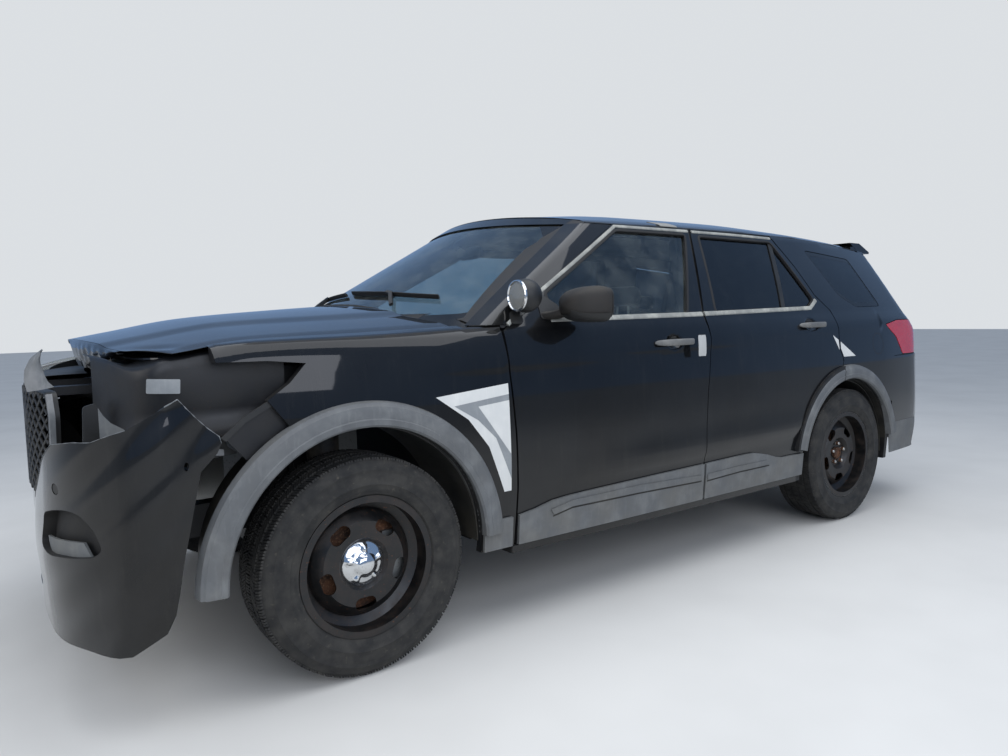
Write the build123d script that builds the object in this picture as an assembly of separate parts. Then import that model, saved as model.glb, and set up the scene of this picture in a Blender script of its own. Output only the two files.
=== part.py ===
from build123d import *
from math import atan2, sin, sqrt
import os

os.makedirs("parts", exist_ok=True)

# A patrol car with a full cabin, four doors, a hood and a liftgate, its front bumper torn loose.
# Millimetres, +X forward, +Y to the car's left, +Z up, the ground at zero.
# Every place below is measured from the middle of the wheelbase. At the end all the pieces move
# together, so that the origin lies under the middle of the whole car.

# Overall sizes
wheelbase = 3025
track = 1699
nose_x = 2392
tail_x = -2656
body_half_width = 985
flare_half_width = body_half_width + 17
front_axle_x = wheelbase / 2
rear_axle_x = -wheelbase / 2

# Clearances
seam = 6
seat_gap = 0.3
running_gap = 6

# Wall thicknesses
door_wall = 90
frame_wall = 45
side_wall = 150
pillar_wall = 95
roof_wall = 34
roof_half_width = 615
firewall_x = 1035
floor_bottom = 360
floor_top = 400
load_floor = 760
panel_wall = 30
gate_wall = 60
glass_wall = 5

# Body side, columns: height, distance in from the widest line
side_profile = [
    (300, 25),
    (480, 10),
    (700, 0),
    (900, 5),
    (1060, 20),
    (1150, 40),
    (1205, 70),
]
belt_height = side_profile[-1][0]

# Cabin sections, columns: x, widest half width, rail half width, rail height, roof height
cabin_stations = [
    (1150, body_half_width - 12, 640, 1560, 1640),
    (300, body_half_width, 668, 1650, 1720),
    (-200, body_half_width, 676, 1654, 1758),
    (-900, body_half_width, 676, 1654, 1764),
    (-1400, body_half_width, 672, 1646, 1744),
    (-1850, body_half_width - 4, 660, 1622, 1714),
    (-2250, body_half_width - 25, 645, 1588, 1672),
    (-2700, body_half_width - 90, 620, 1540, 1600),
]

# Front sections, columns: x, widest half width, crest half width, crest height, hood height
front_stations = [
    (900, body_half_width - 7, 915, 1184, 1295),
    (1500, body_half_width - 13, 918, 1165, 1262),
    (1850, body_half_width - 23, 912, 1160, 1235),
    (2100, body_half_width - 30, 888, 1130, 1190),
    (2440, body_half_width - 40, 860, 1056, 1128),
]

# Plan outline of the tail, columns: height, side x, side y, corner x, corner y, end x, end y, middle x
tail_levels = [
    (250, -1900, 1020, -2370, 920, -2548, 660, -2606),
    (1090, -1900, 1020, -2370, 920, -2544, 660, -2602),
    (1200, -1850, 960, -2320, 860, -2486, 640, -2546),
    (1640, -1700, 780, -2120, 700, -2272, 560, -2330),
    (1850, -1620, 700, -2030, 620, -2170, 500, -2228),
]

# Plan outline of the nose: side, corner, end and middle points
nose_plan = [(1650, 1020), (2190, 900), (2338, 640), (nose_x, 0)]

# Windshield surface, columns: height, middle x, edge x, edge y
windshield_levels = [(1120, 1487, 1100, 940), (1760, 332, 25, 640)]
windshield_rise = windshield_levels[1][0] - windshield_levels[0][0]
windshield_run = windshield_levels[0][1] - windshield_levels[1][1]
windshield_slope = atan2(windshield_rise, windshield_run)
windshield_gap = 24

# Side outlines, x and z pairs
front_door_outline = [
    (890, 335), (880, 560), (885, 780), (905, 1060), (905, 1168), (690, 1308), (75, 1645),
    (-455, 1645), (-286, 1214), (-288, 1100), (-243, 850), (-218, 600), (-213, 335),
]
rear_door_outline = [
    (-217, 335), (-222, 600), (-247, 850), (-292, 1100), (-302, 1214), (-474, 1645),
    (-1152, 1636), (-1250, 1460), (-1312, 1300), (-1400, 1212), (-1406, 1100), (-1402, 1000),
    (-1434, 932), (-1400, 812), (-1390, 600), (-1020, 335),
]
front_opening = [
    (780, 480), (-130, 480), (-150, 800), (-190, 1100), (-232, 1214), (-392, 1592), (60, 1592),
    (640, 1270), (780, 1150),
]
rear_opening = [
    (-350, 480), (-960, 480), (-1090, 700), (-1280, 960), (-1312, 1200), (-1245, 1300),
    (-1112, 1590), (-545, 1590), (-402, 1214), (-385, 1100), (-365, 800),
]
front_window = [(640, 1312), (72, 1616), (-418, 1616), (-184, 1214), (600, 1207)]
rear_window = [(-515, 1613), (-1132, 1606), (-1286, 1275), (-1205, 1234), (-392, 1220)]
quarter_window = [(-1430, 1570), (-1955, 1526), (-2040, 1232), (-1700, 1228), (-1560, 1300)]
lamp_pocket = [
    (1700, 1089), (1758, 1029), (1832, 979), (1986, 905), (2500, 884), (2500, 1092),
    (1974, 1104), (1821, 1102),
]
tail_lamp_outline = [
    (-1958, 1122), (-2107, 1142), (-2700, 1142), (-2700, 936), (-2149, 934), (-2072, 1043),
]

# End outlines, y and z pairs
gate_window = [(-585, 1215), (585, 1215), (520, 1560), (-520, 1560)]
grille_outline = [(-400, 1000), (-330, 640), (-250, 600), (250, 600), (330, 640), (400, 1000)]
intake_outline = [(-560, 420), (560, 420), (470, 540), (-470, 540)]
grille_depth = 30

# Wheel arches: axle to arch centre, centre height, opening radius, flare radius, flare foot
front_arch = (5, 396, 469, 557, 405)
rear_arch = (17, 365, 460, 540, 470)

# Hinge axes
front_hinge = (815, body_half_width - 45)
rear_hinge = (-318, body_half_width - 25)
hinge_reach = 91

# Room that the rear door's front edge turns in, columns: height, radius about its hinge
rear_edge_room = [(330, 102), (760, 97), (850, 84), (960, 66), (1100, 40), (1230, 36)]

# Room that the rear door's top rear corner moves back in, x and z pairs
rear_corner_room = [
    (-1130, 1640), (-1174, 1640), (-1270, 1462), (-1328, 1306), (-1290, 1290), (-1240, 1440),
]
front_hinge_heights = (520, 960)
rear_hinge_heights = (540, 940)

# Handle cups in the door skins, columns: x, height
handle_cups = [(-28, 1090), (-1150, 1140)]
cup_length = 130
cup_height = 84
cup_depth = 26

# Door hinge pins and arms
hinge_pin_radius = 8
hinge_boss_radius = 12
hinge_boss_room = 14
hinge_pin_length = 46
hinge_arm = 14
hood_hinge = (1055, 1180)
hood_pin_radius = 6
hood_reach = 42
hood_seam_y = 860
gate_hinge = (-2165, 1655)
gate_hinge_places = (-250, 250)
gate_reach = 32
gate_half_width = 655
gate_bottom = 664

# Rear plate pad
plate_face_x = -2612
plate_z = 800
plate_hole_y = 177.8
plate_hole_z = 120.6
plate_hole_radius = 3.2
plate_hole_depth = 22
plate_pad_depth = 30

# Seats: inner y, outer y, front x, how far the back leans, top height, floor height
front_seat_sizes = (170, 640, 360, 150, 1230, floor_top)
rear_seat_sizes = (-620, 620, -560, 120, 1220, floor_top)

# Wheels
tyre_radius = 381.5
rim_seat_radius = 228.6
rim_flange_radius = 246
rim_half_width = 108
wheel_offset = 44
hub_bore_radius = 35.3
stud_circle = 114.3
stud_count = 5
stud_radius = 7
rotor_radius = 170
rotor_half_width = 14
spindle_radius = 25
kingpin_inset = 60
wheel_z = tyre_radius
wheel_y = track / 2


def outline_face(points):
    return make_face(Polyline(*points, close=True))


def side_prism(points, y_low=-1300, y_high=1300, grow=0):
    face = outline_face(points)
    if grow:
        face = offset(face, amount=grow, kind=Kind.INTERSECTION)
    return extrude(Plane.XZ.offset(-y_high) * face, amount=y_high - y_low, dir=(0, -1, 0))


def plan_prism(points, z_low, z_high):
    face = Plane.XY.offset(z_low) * outline_face(points)
    return extrude(face, amount=z_high - z_low, dir=(0, 0, 1))


def end_prism(points, x_low, x_high, grow=0):
    face = outline_face(points)
    if grow:
        face = offset(face, amount=grow, kind=Kind.INTERSECTION)
    return extrude(Plane.YZ.offset(x_low) * face, amount=x_high - x_low, dir=(1, 0, 0))


def block(x_low, x_high, y_low, y_high, z_low, z_high):
    size = (x_high - x_low, y_high - y_low, z_high - z_low)
    middle = ((x_high + x_low) / 2, (y_high + y_low) / 2, (z_high + z_low) / 2)
    return Pos(*middle) * Box(*size)


def rod_y(radius, x, z, y_low, y_high):
    face = Plane.XZ.offset(-y_high) * (Pos(x, z) * Circle(radius))
    return extrude(face, amount=y_high - y_low, dir=(0, -1, 0))


def rod_z(radius, x, y, z_low, z_high):
    return extrude(Plane.XY.offset(z_low) * (Pos(x, y) * Circle(radius)), amount=z_high - z_low)


def rod_x(radius, y, z, x_low, x_high):
    face = Plane.YZ.offset(x_low) * (Pos(y, z) * Circle(radius))
    return extrude(face, amount=x_high - x_low, dir=(1, 0, 0))


def other_side(shape):
    return mirror(shape, about=Plane.XZ)


def solids_in(shape):
    if isinstance(shape, (list, tuple, ShapeList)):
        return [solid for item in shape for solid in solids_in(item)]
    return list(shape.solids())


def main_solid(shape):
    return max(solids_in(shape), key=lambda solid: solid.volume)


pieces = {}


def save(name, *shapes):
    pieces[name] = solids_in(shapes)


def crowned_section(x, side_points, crown_height):
    """A closed section across the car: straight sides, and one arc over the top."""
    left = side_points
    right = [(-y, z) for y, z in reversed(side_points)]
    top_left, top_right = left[-1], right[0]
    edges = [
        Polyline(*left),
        ThreePointArc(top_left, (0, crown_height), top_right),
        Polyline(*right),
        Line(right[-1], left[0]),
    ]
    return Plane.YZ.offset(x) * make_face(edges)


def cabin_solid(low_inset=0, high_inset=0, top_inset=0):
    """The cabin from sill to roof, drawn in by the given wall thicknesses."""
    sections = []
    for x, widest, rail_y, rail_z, roof_z in cabin_stations:
        side = [(widest - inward - low_inset, z) for z, inward in side_profile]
        belt_y = side[-1][0]
        if low_inset > high_inset:
            side.append((belt_y + low_inset - high_inset - 10, belt_height + 18))
        side.append((rail_y - high_inset, rail_z - top_inset / 2))
        sections.append(crowned_section(x, side, roof_z - top_inset))
    return loft(sections, ruled=True)


def front_solid(side_inset=0, top_inset=0):
    """The front of the body from sill to hood, drawn in by the given wall thicknesses."""
    sections = []
    for x, widest, crest_y, crest_z, hood_z in front_stations:
        side = [(widest - inward - side_inset, z) for z, inward in side_profile[:5]]
        side.append((crest_y - side_inset, crest_z - top_inset))
        sections.append(crowned_section(x, side, hood_z - top_inset))
    return loft(sections, ruled=True)


def tail_solid(inset=0):
    """Everything ahead of the car's rear face."""
    sections = []
    for z, side_x, side_y, corner_x, corner_y, end_x, end_y, middle_x in tail_levels:
        ahead = 1400
        side_x, corner_x, end_x, middle_x = [x + inset for x in (side_x, corner_x, end_x, middle_x)]
        edges = [
            Line((ahead, -1270), (ahead, 1270)),
            Line((ahead, 1270), (side_x, 1270)),
            Line((side_x, 1270), (side_x, side_y)),
            ThreePointArc((side_x, side_y), (corner_x, corner_y), (end_x, end_y)),
            ThreePointArc((end_x, end_y), (middle_x, 0), (end_x, -end_y)),
            ThreePointArc((end_x, -end_y), (corner_x, -corner_y), (side_x, -side_y)),
            Line((side_x, -side_y), (side_x, -1270)),
            Line((side_x, -1270), (ahead, -1270)),
        ]
        sections.append(Plane.XY.offset(z) * make_face(edges))
    return loft(sections, ruled=True)


def nose_solid(inset=0, z_low=250, z_high=1400):
    """Everything behind the car's front face."""
    side, corner, end, middle = [(x - inset, y) for x, y in nose_plan]
    edges = [
        Line((600, 1270), (600, -1270)),
        Line((600, -1270), (side[0], -1270)),
        Line((side[0], -1270), (side[0], -side[1])),
        ThreePointArc((side[0], -side[1]), (corner[0], -corner[1]), (end[0], -end[1])),
        ThreePointArc((end[0], -end[1]), (middle[0], 0), end),
        ThreePointArc(end, corner, side),
        Line(side, (side[0], 1270)),
        Line((side[0], 1270), (600, 1270)),
    ]
    return extrude(Plane.XY.offset(z_low) * make_face(edges), amount=z_high - z_low)


def ahead_of_windshield(shift=0):
    """Everything ahead of the windshield's outer face, moved forward by shift."""
    sections = []
    for z, middle_x, edge_x, edge_y in windshield_levels:
        bulge = middle_x - edge_x
        radius = (edge_y**2 + bulge**2) / (2 * bulge)
        reach = edge_y * 1.15
        side_x = middle_x - radius + sqrt(radius**2 - reach**2) + shift
        middle = (middle_x + shift, 0)
        edges = [
            ThreePointArc((side_x, reach), middle, (side_x, -reach)),
            Line((side_x, -reach), (2300, -reach)),
            Line((2300, -reach), (2300, reach)),
            Line((2300, reach), (side_x, reach)),
        ]
        sections.append(Plane.XY.offset(z) * make_face(edges))
    return loft(sections, ruled=True)


def arch_disc(axle_x, arch, radius, y_low=500, y_high=1300):
    return rod_y(radius, axle_x + arch[0], arch[1], y_low, y_high)


# The shared body shapes
cabin = cabin_solid()
door_inner = cabin_solid(door_wall, frame_wall, 20)
frame_outer = cabin_solid(door_wall + seam, frame_wall + seam, 26)
side_inner = cabin_solid(side_wall, pillar_wall, roof_wall + 20)
glass_outer = cabin_solid(14, 14, 0)
glass_inner = cabin_solid(14 + glass_wall, 14 + glass_wall, 0)
roof_inner = cabin_solid(0, 0, roof_wall)
tail = tail_solid()
tail_inner = tail_solid(gate_wall)
front = front_solid()
front_inner = front_solid(panel_wall, panel_wall)
under_hood = front_solid(0, panel_wall + seam)
nose = nose_solid()
nose_inner = nose_solid(panel_wall)
screen = ahead_of_windshield()


def hinge_bracket(hinge, z):
    """An arm from the pillar with the pin that a door turns on."""
    x, y = hinge
    arm = block(x - 12, x + 12, y - 110, y, z - hinge_arm / 2, z + hinge_arm / 2)
    arm = arm + rod_z(hinge_boss_radius, x, y, z - hinge_arm / 2, z + hinge_arm / 2)
    return arm + rod_z(hinge_pin_radius, x, y, z - hinge_pin_length / 2, z + hinge_pin_length / 2)


def hinge_pocket(hinge, z):
    """The room in a door for its hinge arm and pin."""
    x, y = hinge
    half = hinge_arm / 2 + running_gap - 1
    slot = rod_z(hinge_reach + seam, x, y, z - half, z + half)
    slot = slot & block(-3000, 3000, 0, y + hinge_boss_room, 0, 2000)
    half = hinge_pin_length / 2 + seat_gap
    return slot + rod_z(hinge_pin_radius + seat_gap, x, y, z - half, z + half)


def handle_cup(x, z):
    """The room behind a door handle's grip."""
    depth = body_half_width - 20 - cup_depth
    half, rise = cup_length / 2, cup_height / 2
    return block(x - half, x + half, depth, 1300, z - rise, z + rise)


def front_door():
    reach = rod_z(hinge_reach, *front_hinge, 200, 1400)
    behind = block(-3000, front_hinge[0], 0, 1300, 200, 1900)
    door = (cabin - door_inner) & side_prism(front_door_outline, 0, 1300, -seam / 2)
    door = door & (reach + behind)
    door = door - side_prism(front_window, 0, 1300)
    for (low, low_radius), (high, high_radius) in zip(rear_edge_room, rear_edge_room[1:]):
        room = Pos(*rear_hinge, (low + high) / 2) * Cone(low_radius, high_radius, high - low)
        door = door - room
    for z in front_hinge_heights:
        door = door - hinge_pocket(front_hinge, z)
    door = door - handle_cup(*handle_cups[0])
    glass = (glass_outer - glass_inner) & side_prism(front_window, 0, 1300, -seat_gap)
    return main_solid(door), main_solid(glass)


def rear_door():
    reach = rod_z(hinge_reach, *rear_hinge, 200, 1400)
    behind = block(-3000, rear_hinge[0], 0, 1300, 200, 1900)
    door = (cabin - door_inner) & side_prism(rear_door_outline, 0, 1300, -seam / 2)
    door = door & (reach + behind)
    flare = rear_flare_ring() & side_prism(rear_door_outline, 0, 1300, -seam / 2)
    door = door + (flare - door_inner)
    door = door - arch_disc(rear_axle_x, rear_arch, rear_arch[2])
    door = door - side_prism(rear_window, 0, 1300)
    for z in rear_hinge_heights:
        door = door - hinge_pocket(rear_hinge, z)
    door = door - handle_cup(*handle_cups[1])
    glass = (glass_outer - glass_inner) & side_prism(rear_window, 0, 1300, -seat_gap)
    return main_solid(door), main_solid(glass)


def flare_ring(axle_x, arch):
    ring = arch_disc(axle_x, arch, arch[3], 940, flare_half_width)
    ring = ring - arch_disc(axle_x, arch, arch[2])
    return ring & block(-3000, 3000, 0, 1300, arch[4], 1400)


def rear_flare_ring():
    return flare_ring(rear_axle_x, rear_arch)


def arch_flares():
    front_ring = flare_ring(front_axle_x, front_arch) - front
    rear_ring = rear_flare_ring() - cabin
    rear_ring = rear_ring - side_prism(rear_door_outline, 0, 1300, seam / 2)
    pair = [main_solid(front_ring), main_solid(rear_ring)]
    return pair + [other_side(flare) for flare in pair]


def mirror_housing():
    middle = (588, 1040, 1268)
    shell = Pos(*middle) * (Rot(0, 0, -14) * Box(176, 176, 138))
    shell = fillet(shell.edges(), 42)
    foot = block(600, 690, 880, 985, 1212, 1240)
    foot = foot - cabin
    return main_solid(shell + foot)


def body_side():
    """Rocker, pillars, roof rail and quarter panel, one pressing on each side."""
    hollow = side_inner & tail_inner
    flush = [(-2700, 300), (908, 300), (908, 1190), (1100, 1190), (1100, 1800), (-2700, 1800)]
    wall = ((cabin & tail) - hollow) & side_prism(flush, 0, 1300)
    pillar = (frame_outer - side_inner) & block(880, firewall_x, 0, 1300, floor_bottom, 1194)
    wall = wall + pillar
    for outline in (front_door_outline, rear_door_outline):
        recess = side_prism(outline, 0, 1300, seam / 2)
        wall = wall - (recess - frame_outer)
    wall = wall - (side_prism(rear_corner_room, 0, 1300) - frame_outer)
    for opening in (front_opening, rear_opening):
        wall = wall - side_prism(opening, 0, 1300)
    for hinge in (front_hinge, rear_hinge):
        wall = wall - rod_z(hinge_reach + seam, *hinge, 335 - seam / 2, 1180)
    for hinge, heights in ((front_hinge, front_hinge_heights), (rear_hinge, rear_hinge_heights)):
        for z in heights:
            wall = wall + hinge_bracket(hinge, z)
    wall = wall - side_prism(quarter_window, 0, 1300)
    wall = wall - arch_disc(rear_axle_x, rear_arch, rear_arch[2], 0)
    wall = wall - block(-3000, 1300, 0, roof_half_width + seat_gap, 1300, 1900)
    wall = wall - block(-3000, -1900, 0, gate_half_width + seam, 200, 1900)
    wall = wall - block(-3000, 2000, 0, 655, 200, 700)
    wall = wall - side_prism(tail_lamp_outline, 0, 1300, seat_gap)
    wall = wall - bumper_zone(seat_gap)
    wall = wall - (screen + windshield_seat())
    wall = wall - rod_y(hood_reach + seam, *hood_hinge, 0, hood_seam_y + seam)
    return main_solid(wall)


def windshield_seat(grow=seat_gap):
    """The place the windshield takes in the pillars, the header and the cowl."""
    edge = cabin_solid(70 - grow, 70 - grow, 60 - grow)
    layer = ahead_of_windshield(-(glass_wall + grow) / sin(windshield_slope))
    return layer & edge & block(0, 2000, -1200, 1200, 1214 - grow, 1900)


def windshield():
    return main_solid(windshield_seat(0) - screen)


def quarter_glass():
    glass = (glass_outer - glass_inner) & side_prism(quarter_window, 0, 1300, -seat_gap)
    return main_solid(glass)


def roof_panel():
    rear = gate_hinge[0] + gate_reach + seam
    plan = block(rear, 1200, -roof_half_width, roof_half_width, 1500, 1900)
    roof = (cabin - roof_inner) & plan
    roof = roof - (screen + windshield_seat())
    roof = roof - rod_y(gate_reach + seam, *gate_hinge, -700, 700)
    x, z = gate_hinge
    for y in gate_hinge_places:
        roof = roof + block(x, x + 60, y - 8, y + 8, z - 8, z + 8)
        roof = roof + rod_y(10, x, z, y - 8, y + 8) + rod_y(hood_pin_radius, x, z, y - 26, y + 26)
    return main_solid(roof)


def liftgate():
    inner = cabin_solid(0, 0, gate_wall - 10) & tail_inner
    zone = block(-3000, gate_hinge[0] + gate_reach, -gate_half_width, gate_half_width, gate_bottom, 1900)
    gate = ((cabin & tail) - inner) & zone
    ahead = block(gate_hinge[0], 0, -700, 700, gate_hinge[1] - 200, 1900)
    gate = gate - (ahead - rod_y(gate_reach, *gate_hinge, -700, 700))
    spoiler = [(-2185, 1655), (-2300, 1654), (-2428, 1600), (-2424, 1588), (-2290, 1590)]
    gate = gate + side_prism(spoiler, -590, 590)
    pad = block(plate_face_x, plate_face_x + plate_pad_depth, -165, 165, plate_z - 85, plate_z + 85)
    gate = gate + pad
    for y in (-plate_hole_y / 2, plate_hole_y / 2):
        for z in (plate_z - plate_hole_z / 2, plate_z + plate_hole_z / 2):
            gate = gate - rod_x(plate_hole_radius, y, z, plate_face_x - 1, plate_face_x + plate_hole_depth)
    for y in gate_hinge_places:
        half = 8 + running_gap
        gate = gate - rod_y(gate_reach + seam, *gate_hinge, y - half, y + half)
        gate = gate - rod_y(hood_pin_radius + seat_gap, *gate_hinge, y - 27, y + 27)
    opening = end_prism(gate_window, -3000, -2200)
    gate = gate - opening
    glass = (tail - tail_solid(glass_wall + 2)) & cabin & end_prism(gate_window, -3000, -2200, -seat_gap)
    return main_solid(gate), main_solid(glass)


def bumper_zone(grow=0):
    """The tail's lower corners, where the rear bumper is."""
    return (
        block(-3000, -1988 + grow, -1300, 1300, 200, gate_bottom - seam + grow)
        + block(-3000, -2030 + grow, gate_half_width + seam, 1300, 600, 928 + grow)
        + block(-3000, -2030 + grow, -1300, -gate_half_width - seam, 600, 928 + grow)
    )


def rear_bumper():
    outline = [(-1988, 990), (-2440, 900), (-2600, 640), (tail_x, 0)]
    shells = []
    for inset in (0, 40):
        side, corner, end, middle = [(x + inset, y - inset * (y > 600)) for x, y in outline]
        edges = [
            Line((-1700, -side[1]), (-1700, side[1])),
            Line((-1700, side[1]), side),
            ThreePointArc(side, corner, end),
            ThreePointArc(end, middle, (end[0], -end[1])),
            ThreePointArc((end[0], -end[1]), (corner[0], -corner[1]), (side[0], -side[1])),
            Line((side[0], -side[1]), (-1700, -side[1])),
        ]
        shells.append(extrude(Plane.XY.offset(322) * make_face(edges), amount=700))
    shell = (shells[0] - shells[1]) & bumper_zone(0) & block(-3000, 0, -990, 990, 0, 1000)
    for radius, y_low in ((rear_arch[2] + 2, 0), (rear_arch[3] + seat_gap, 930)):
        disc = arch_disc(rear_axle_x, rear_arch, radius, y_low)
        shell = shell - disc - other_side(disc)
    return main_solid(shell)


def tail_lamp():
    lens = ((cabin & tail) - (cabin_solid(50, 50, 50) & tail_solid(50)))
    lens = lens & side_prism(tail_lamp_outline, gate_half_width + seam, 1300)
    return main_solid(lens)


def front_fender():
    outline = [
        (911, 334), (1100, 334), (1500, 500), (1776, 905), (1832, 979), (1758, 1029), (1700, 1089),
        (1821, 1102), (1974, 1104), (1992, 1300), (1120, 1300), (1120, 1186), (911, 1186),
    ]
    skin = (front & nose) - front_inner
    fender = skin & side_prism(outline, hood_seam_y + seam, 1300)
    fender = fender + (skin & side_prism(outline, 700, 1300) & block(0, 3000, 700, 1300, 300, 1050))
    fender = fender - arch_disc(front_axle_x, front_arch, front_arch[2])
    fender = fender - rod_z(hinge_reach + seam, *front_hinge, 300, 1190)
    fender = fender + rod_y(hood_pin_radius, *hood_hinge, 795, 880)
    return main_solid(fender)


def hood():
    plan = block(900, 2500, -hood_seam_y, hood_seam_y, 900, 1400)
    panel = (front - front_solid(0, panel_wall)) & plan & nose_solid(72)
    panel = panel & ahead_of_windshield(windshield_gap)
    x, z = hood_hinge
    strap = rod_y(14, x, z, 805, 820) + block(x, x + 70, 805, 820, z - 32, z + 2)
    panel = panel + strap + other_side(strap)
    return main_solid(panel - rod_y(hood_pin_radius + seat_gap, x, z, -900, 900))


def front_bumper():
    """The cover, whole on the right, torn from its fender and sagging on the left."""
    shell = (nose - nose_inner) & (under_hood & block(1900, 2600, -1300, 1300, 330, 1010))
    top = [(1500, 300), (2600, 300), (2600, 884 - seam), (1990, 905 - seam), (1836, 973), (1780, 896)]
    shell = shell & (side_prism(top) + block(2200, 2600, -430, 430, 300, 1020))
    shell = shell - end_prism(intake_outline, 2000, 2600)
    shell = shell - arch_disc(front_axle_x, front_arch, front_arch[3] + 4, -1300)
    whole = shell & block(0, 3000, -1300, 4, 0, 2000)
    torn = shell & block(0, 3000, -4, 1300, 0, 2000)
    pivot = Location((nose_x, 0, 700))
    torn = pivot * (Rot(-4, 0, -7) * (pivot.inverse() * torn))
    return main_solid((whole + torn) - end_prism(grille_outline, 2000, 2700, seat_gap))


def grille():
    plate = nose_solid(6) - nose_solid(grille_depth)
    plate = plate & end_prism(grille_outline, 2000, 2600) & under_hood
    return main_solid(plate)


def headlamp():
    lens = (front & nose) - (front_solid(70, 0) & nose_solid(70))
    lens = lens & under_hood & side_prism(lamp_pocket, -1300, -440, -seat_gap)
    return main_solid(lens)


def floor_pan():
    floor = block(-1240, firewall_x, -900, 900, floor_bottom, floor_top)
    floor = floor & cabin_solid(side_wall + seat_gap, pillar_wall + seat_gap)
    house = block(-1990, -1030, 640, 900, 300, 900)
    floor = floor - house - other_side(house)
    floor = floor + block(-1240, -1210, -640, 640, floor_bottom, load_floor)
    floor = floor + block(-2500, -1210, -640, 640, load_floor - 30, load_floor)
    floor = floor + block(-500, firewall_x - 30, -120, 120, floor_top, 500)
    floor = floor + block(-2500, -2470, -600, 600, 420, load_floor)
    return main_solid(floor & tail_solid(gate_wall + running_gap))


def firewall():
    wall = block(firewall_x - 30, firewall_x, -900, 900, floor_top, 1120)
    wall = wall & cabin_solid(side_wall + seat_gap, pillar_wall + seat_gap)
    tray = block(firewall_x - 30, 1400, -600, 600, 1120, 1140)
    tray = tray - ahead_of_windshield(-20)
    glass_back = ahead_of_windshield(-(glass_wall + seat_gap) / sin(windshield_slope))
    seat = ahead_of_windshield(-40) - glass_back
    seat = seat & block(900, 1500, -640, 640, 1120, 1240)
    return main_solid(wall + tray + seat)


def front_structure():
    """Rails, strut towers and the support around the radiator."""
    rail = block(firewall_x, 2200, 320, 400, 440, 560)
    upper = block(firewall_x, 2110, 770, 830, 1020, 1080)
    tower = block(1410, 1610, 440, 800, 870, 1060)
    leg = block(1440, 1580, 400, 460, 500, 900)
    corner = block(2060, 2110, 560, 830, 980, 1080)
    apron = block(firewall_x, 1420, 620, 640, 880, 1080)
    side = rail + upper + tower + leg + corner + apron
    fender_tab = block(1480, 1540, 830, 960, 1050, 1070)
    side = side + (fender_tab & front_solid(panel_wall + seat_gap, panel_wall))
    grille_arm = block(2106, 2400, 180, 240, 985, 1015)
    side = side + (grille_arm & nose_solid(grille_depth + seat_gap))
    frame = block(2060, 2110, -640, 640, 420, 1080) - block(2000, 2200, -520, 520, 500, 1000)
    beam = block(2200, 2260, -560, 560, 460, 580)
    return main_solid(side + other_side(side) + frame + beam)


def radiator():
    return block(2066, 2104, -520 + seat_gap, 520 - seat_gap, 560 + seat_gap, 1000 - seat_gap)


def engine():
    return block(1240, 1800, -300, 300, 444, 1040)


def front_subframe():
    cross = block(1330, 1700, -318, 318, 330, 444 - seat_gap)
    cross = cross + block(1330, 1400, -395, 395, 400, 440 - seat_gap)
    x = front_axle_x
    arm_plan = [
        (x - 170, 310), (x + 130, 310), (x + 32, 740), (x + 24, 790), (x - 24, 790), (x - 32, 740),
    ]
    arm = plan_prism(arm_plan, 250, 275)
    arm = arm + rod_z(26, x, wheel_y - kingpin_inset, 250, 275)
    arm = arm + block(x - 170, x + 130, 280, 318, 250, 360)
    strut = rod_z(28, x, 590, 500, 870) + rod_z(60, x, 590, 620, 800)
    return main_solid(cross + arm + other_side(arm)), [strut, other_side(strut)]


def knuckle():
    """The upright that carries a front wheel, with its brake caliper."""
    x, y = front_axle_x, wheel_y - kingpin_inset
    body = block(x - 40, x + 40, y - 30, y + 22, 275 + seat_gap, 500)
    spindle = rod_y(spindle_radius, x, wheel_z, y, wheel_y + 30)
    reach = block(x - 175, x - 30, y - 20, y + 20, 350, 410)
    return main_solid(body + spindle + reach + caliper(x))


def caliper(x, inner=-42):
    ring = rod_y(178, x, wheel_z, wheel_y + inner, wheel_y + 30) - rod_y(118, x, wheel_z, 0, 1200)
    ring = ring & block(x - 190, x - 90, 0, 1200, wheel_z - 90, wheel_z + 90)
    half = rotor_half_width + 3
    disc = rod_y(rotor_radius + 4, x, wheel_z, wheel_y - half, wheel_y + half)
    return ring - disc


def rear_suspension():
    x = rear_axle_x
    beam = block(x - 60, x + 60, -640, 640, 300, 360) + block(x - 200, x + 200, -420, 420, 290, 352)
    upright = block(x - 45, x + 45, 620, 790, 300, 470)
    spindle = rod_y(spindle_radius, x, wheel_z, 700, wheel_y + 30)
    link = block(x - 175, x - 30, 770, 812, 350, 410)
    spring = rod_z(55, x, 520, 360, 730 - seat_gap)
    side = upright + spindle + link + caliper(x) + spring
    return main_solid(beam + side + other_side(side))


def revolved(profile):
    face = Plane.YZ * make_face(Polyline(*profile, close=True))
    return revolve(face, axis=Axis.Y)


def tyre():
    outer = [
        (-101, 230), (-101.5, rim_flange_radius + 1), (-120, 262), (-127, 310), (-118, 352),
        (-98, 377), (-60, tyre_radius),
    ]
    inner = [(-90, 230), (-104, 270), (-110, 310), (-102, 346), (-84, 364)]
    profile = outer + [(-y, r) for y, r in reversed(outer)]
    profile += [(-y, r) for y, r in inner] + list(reversed(inner))
    return revolved(profile)


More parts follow.
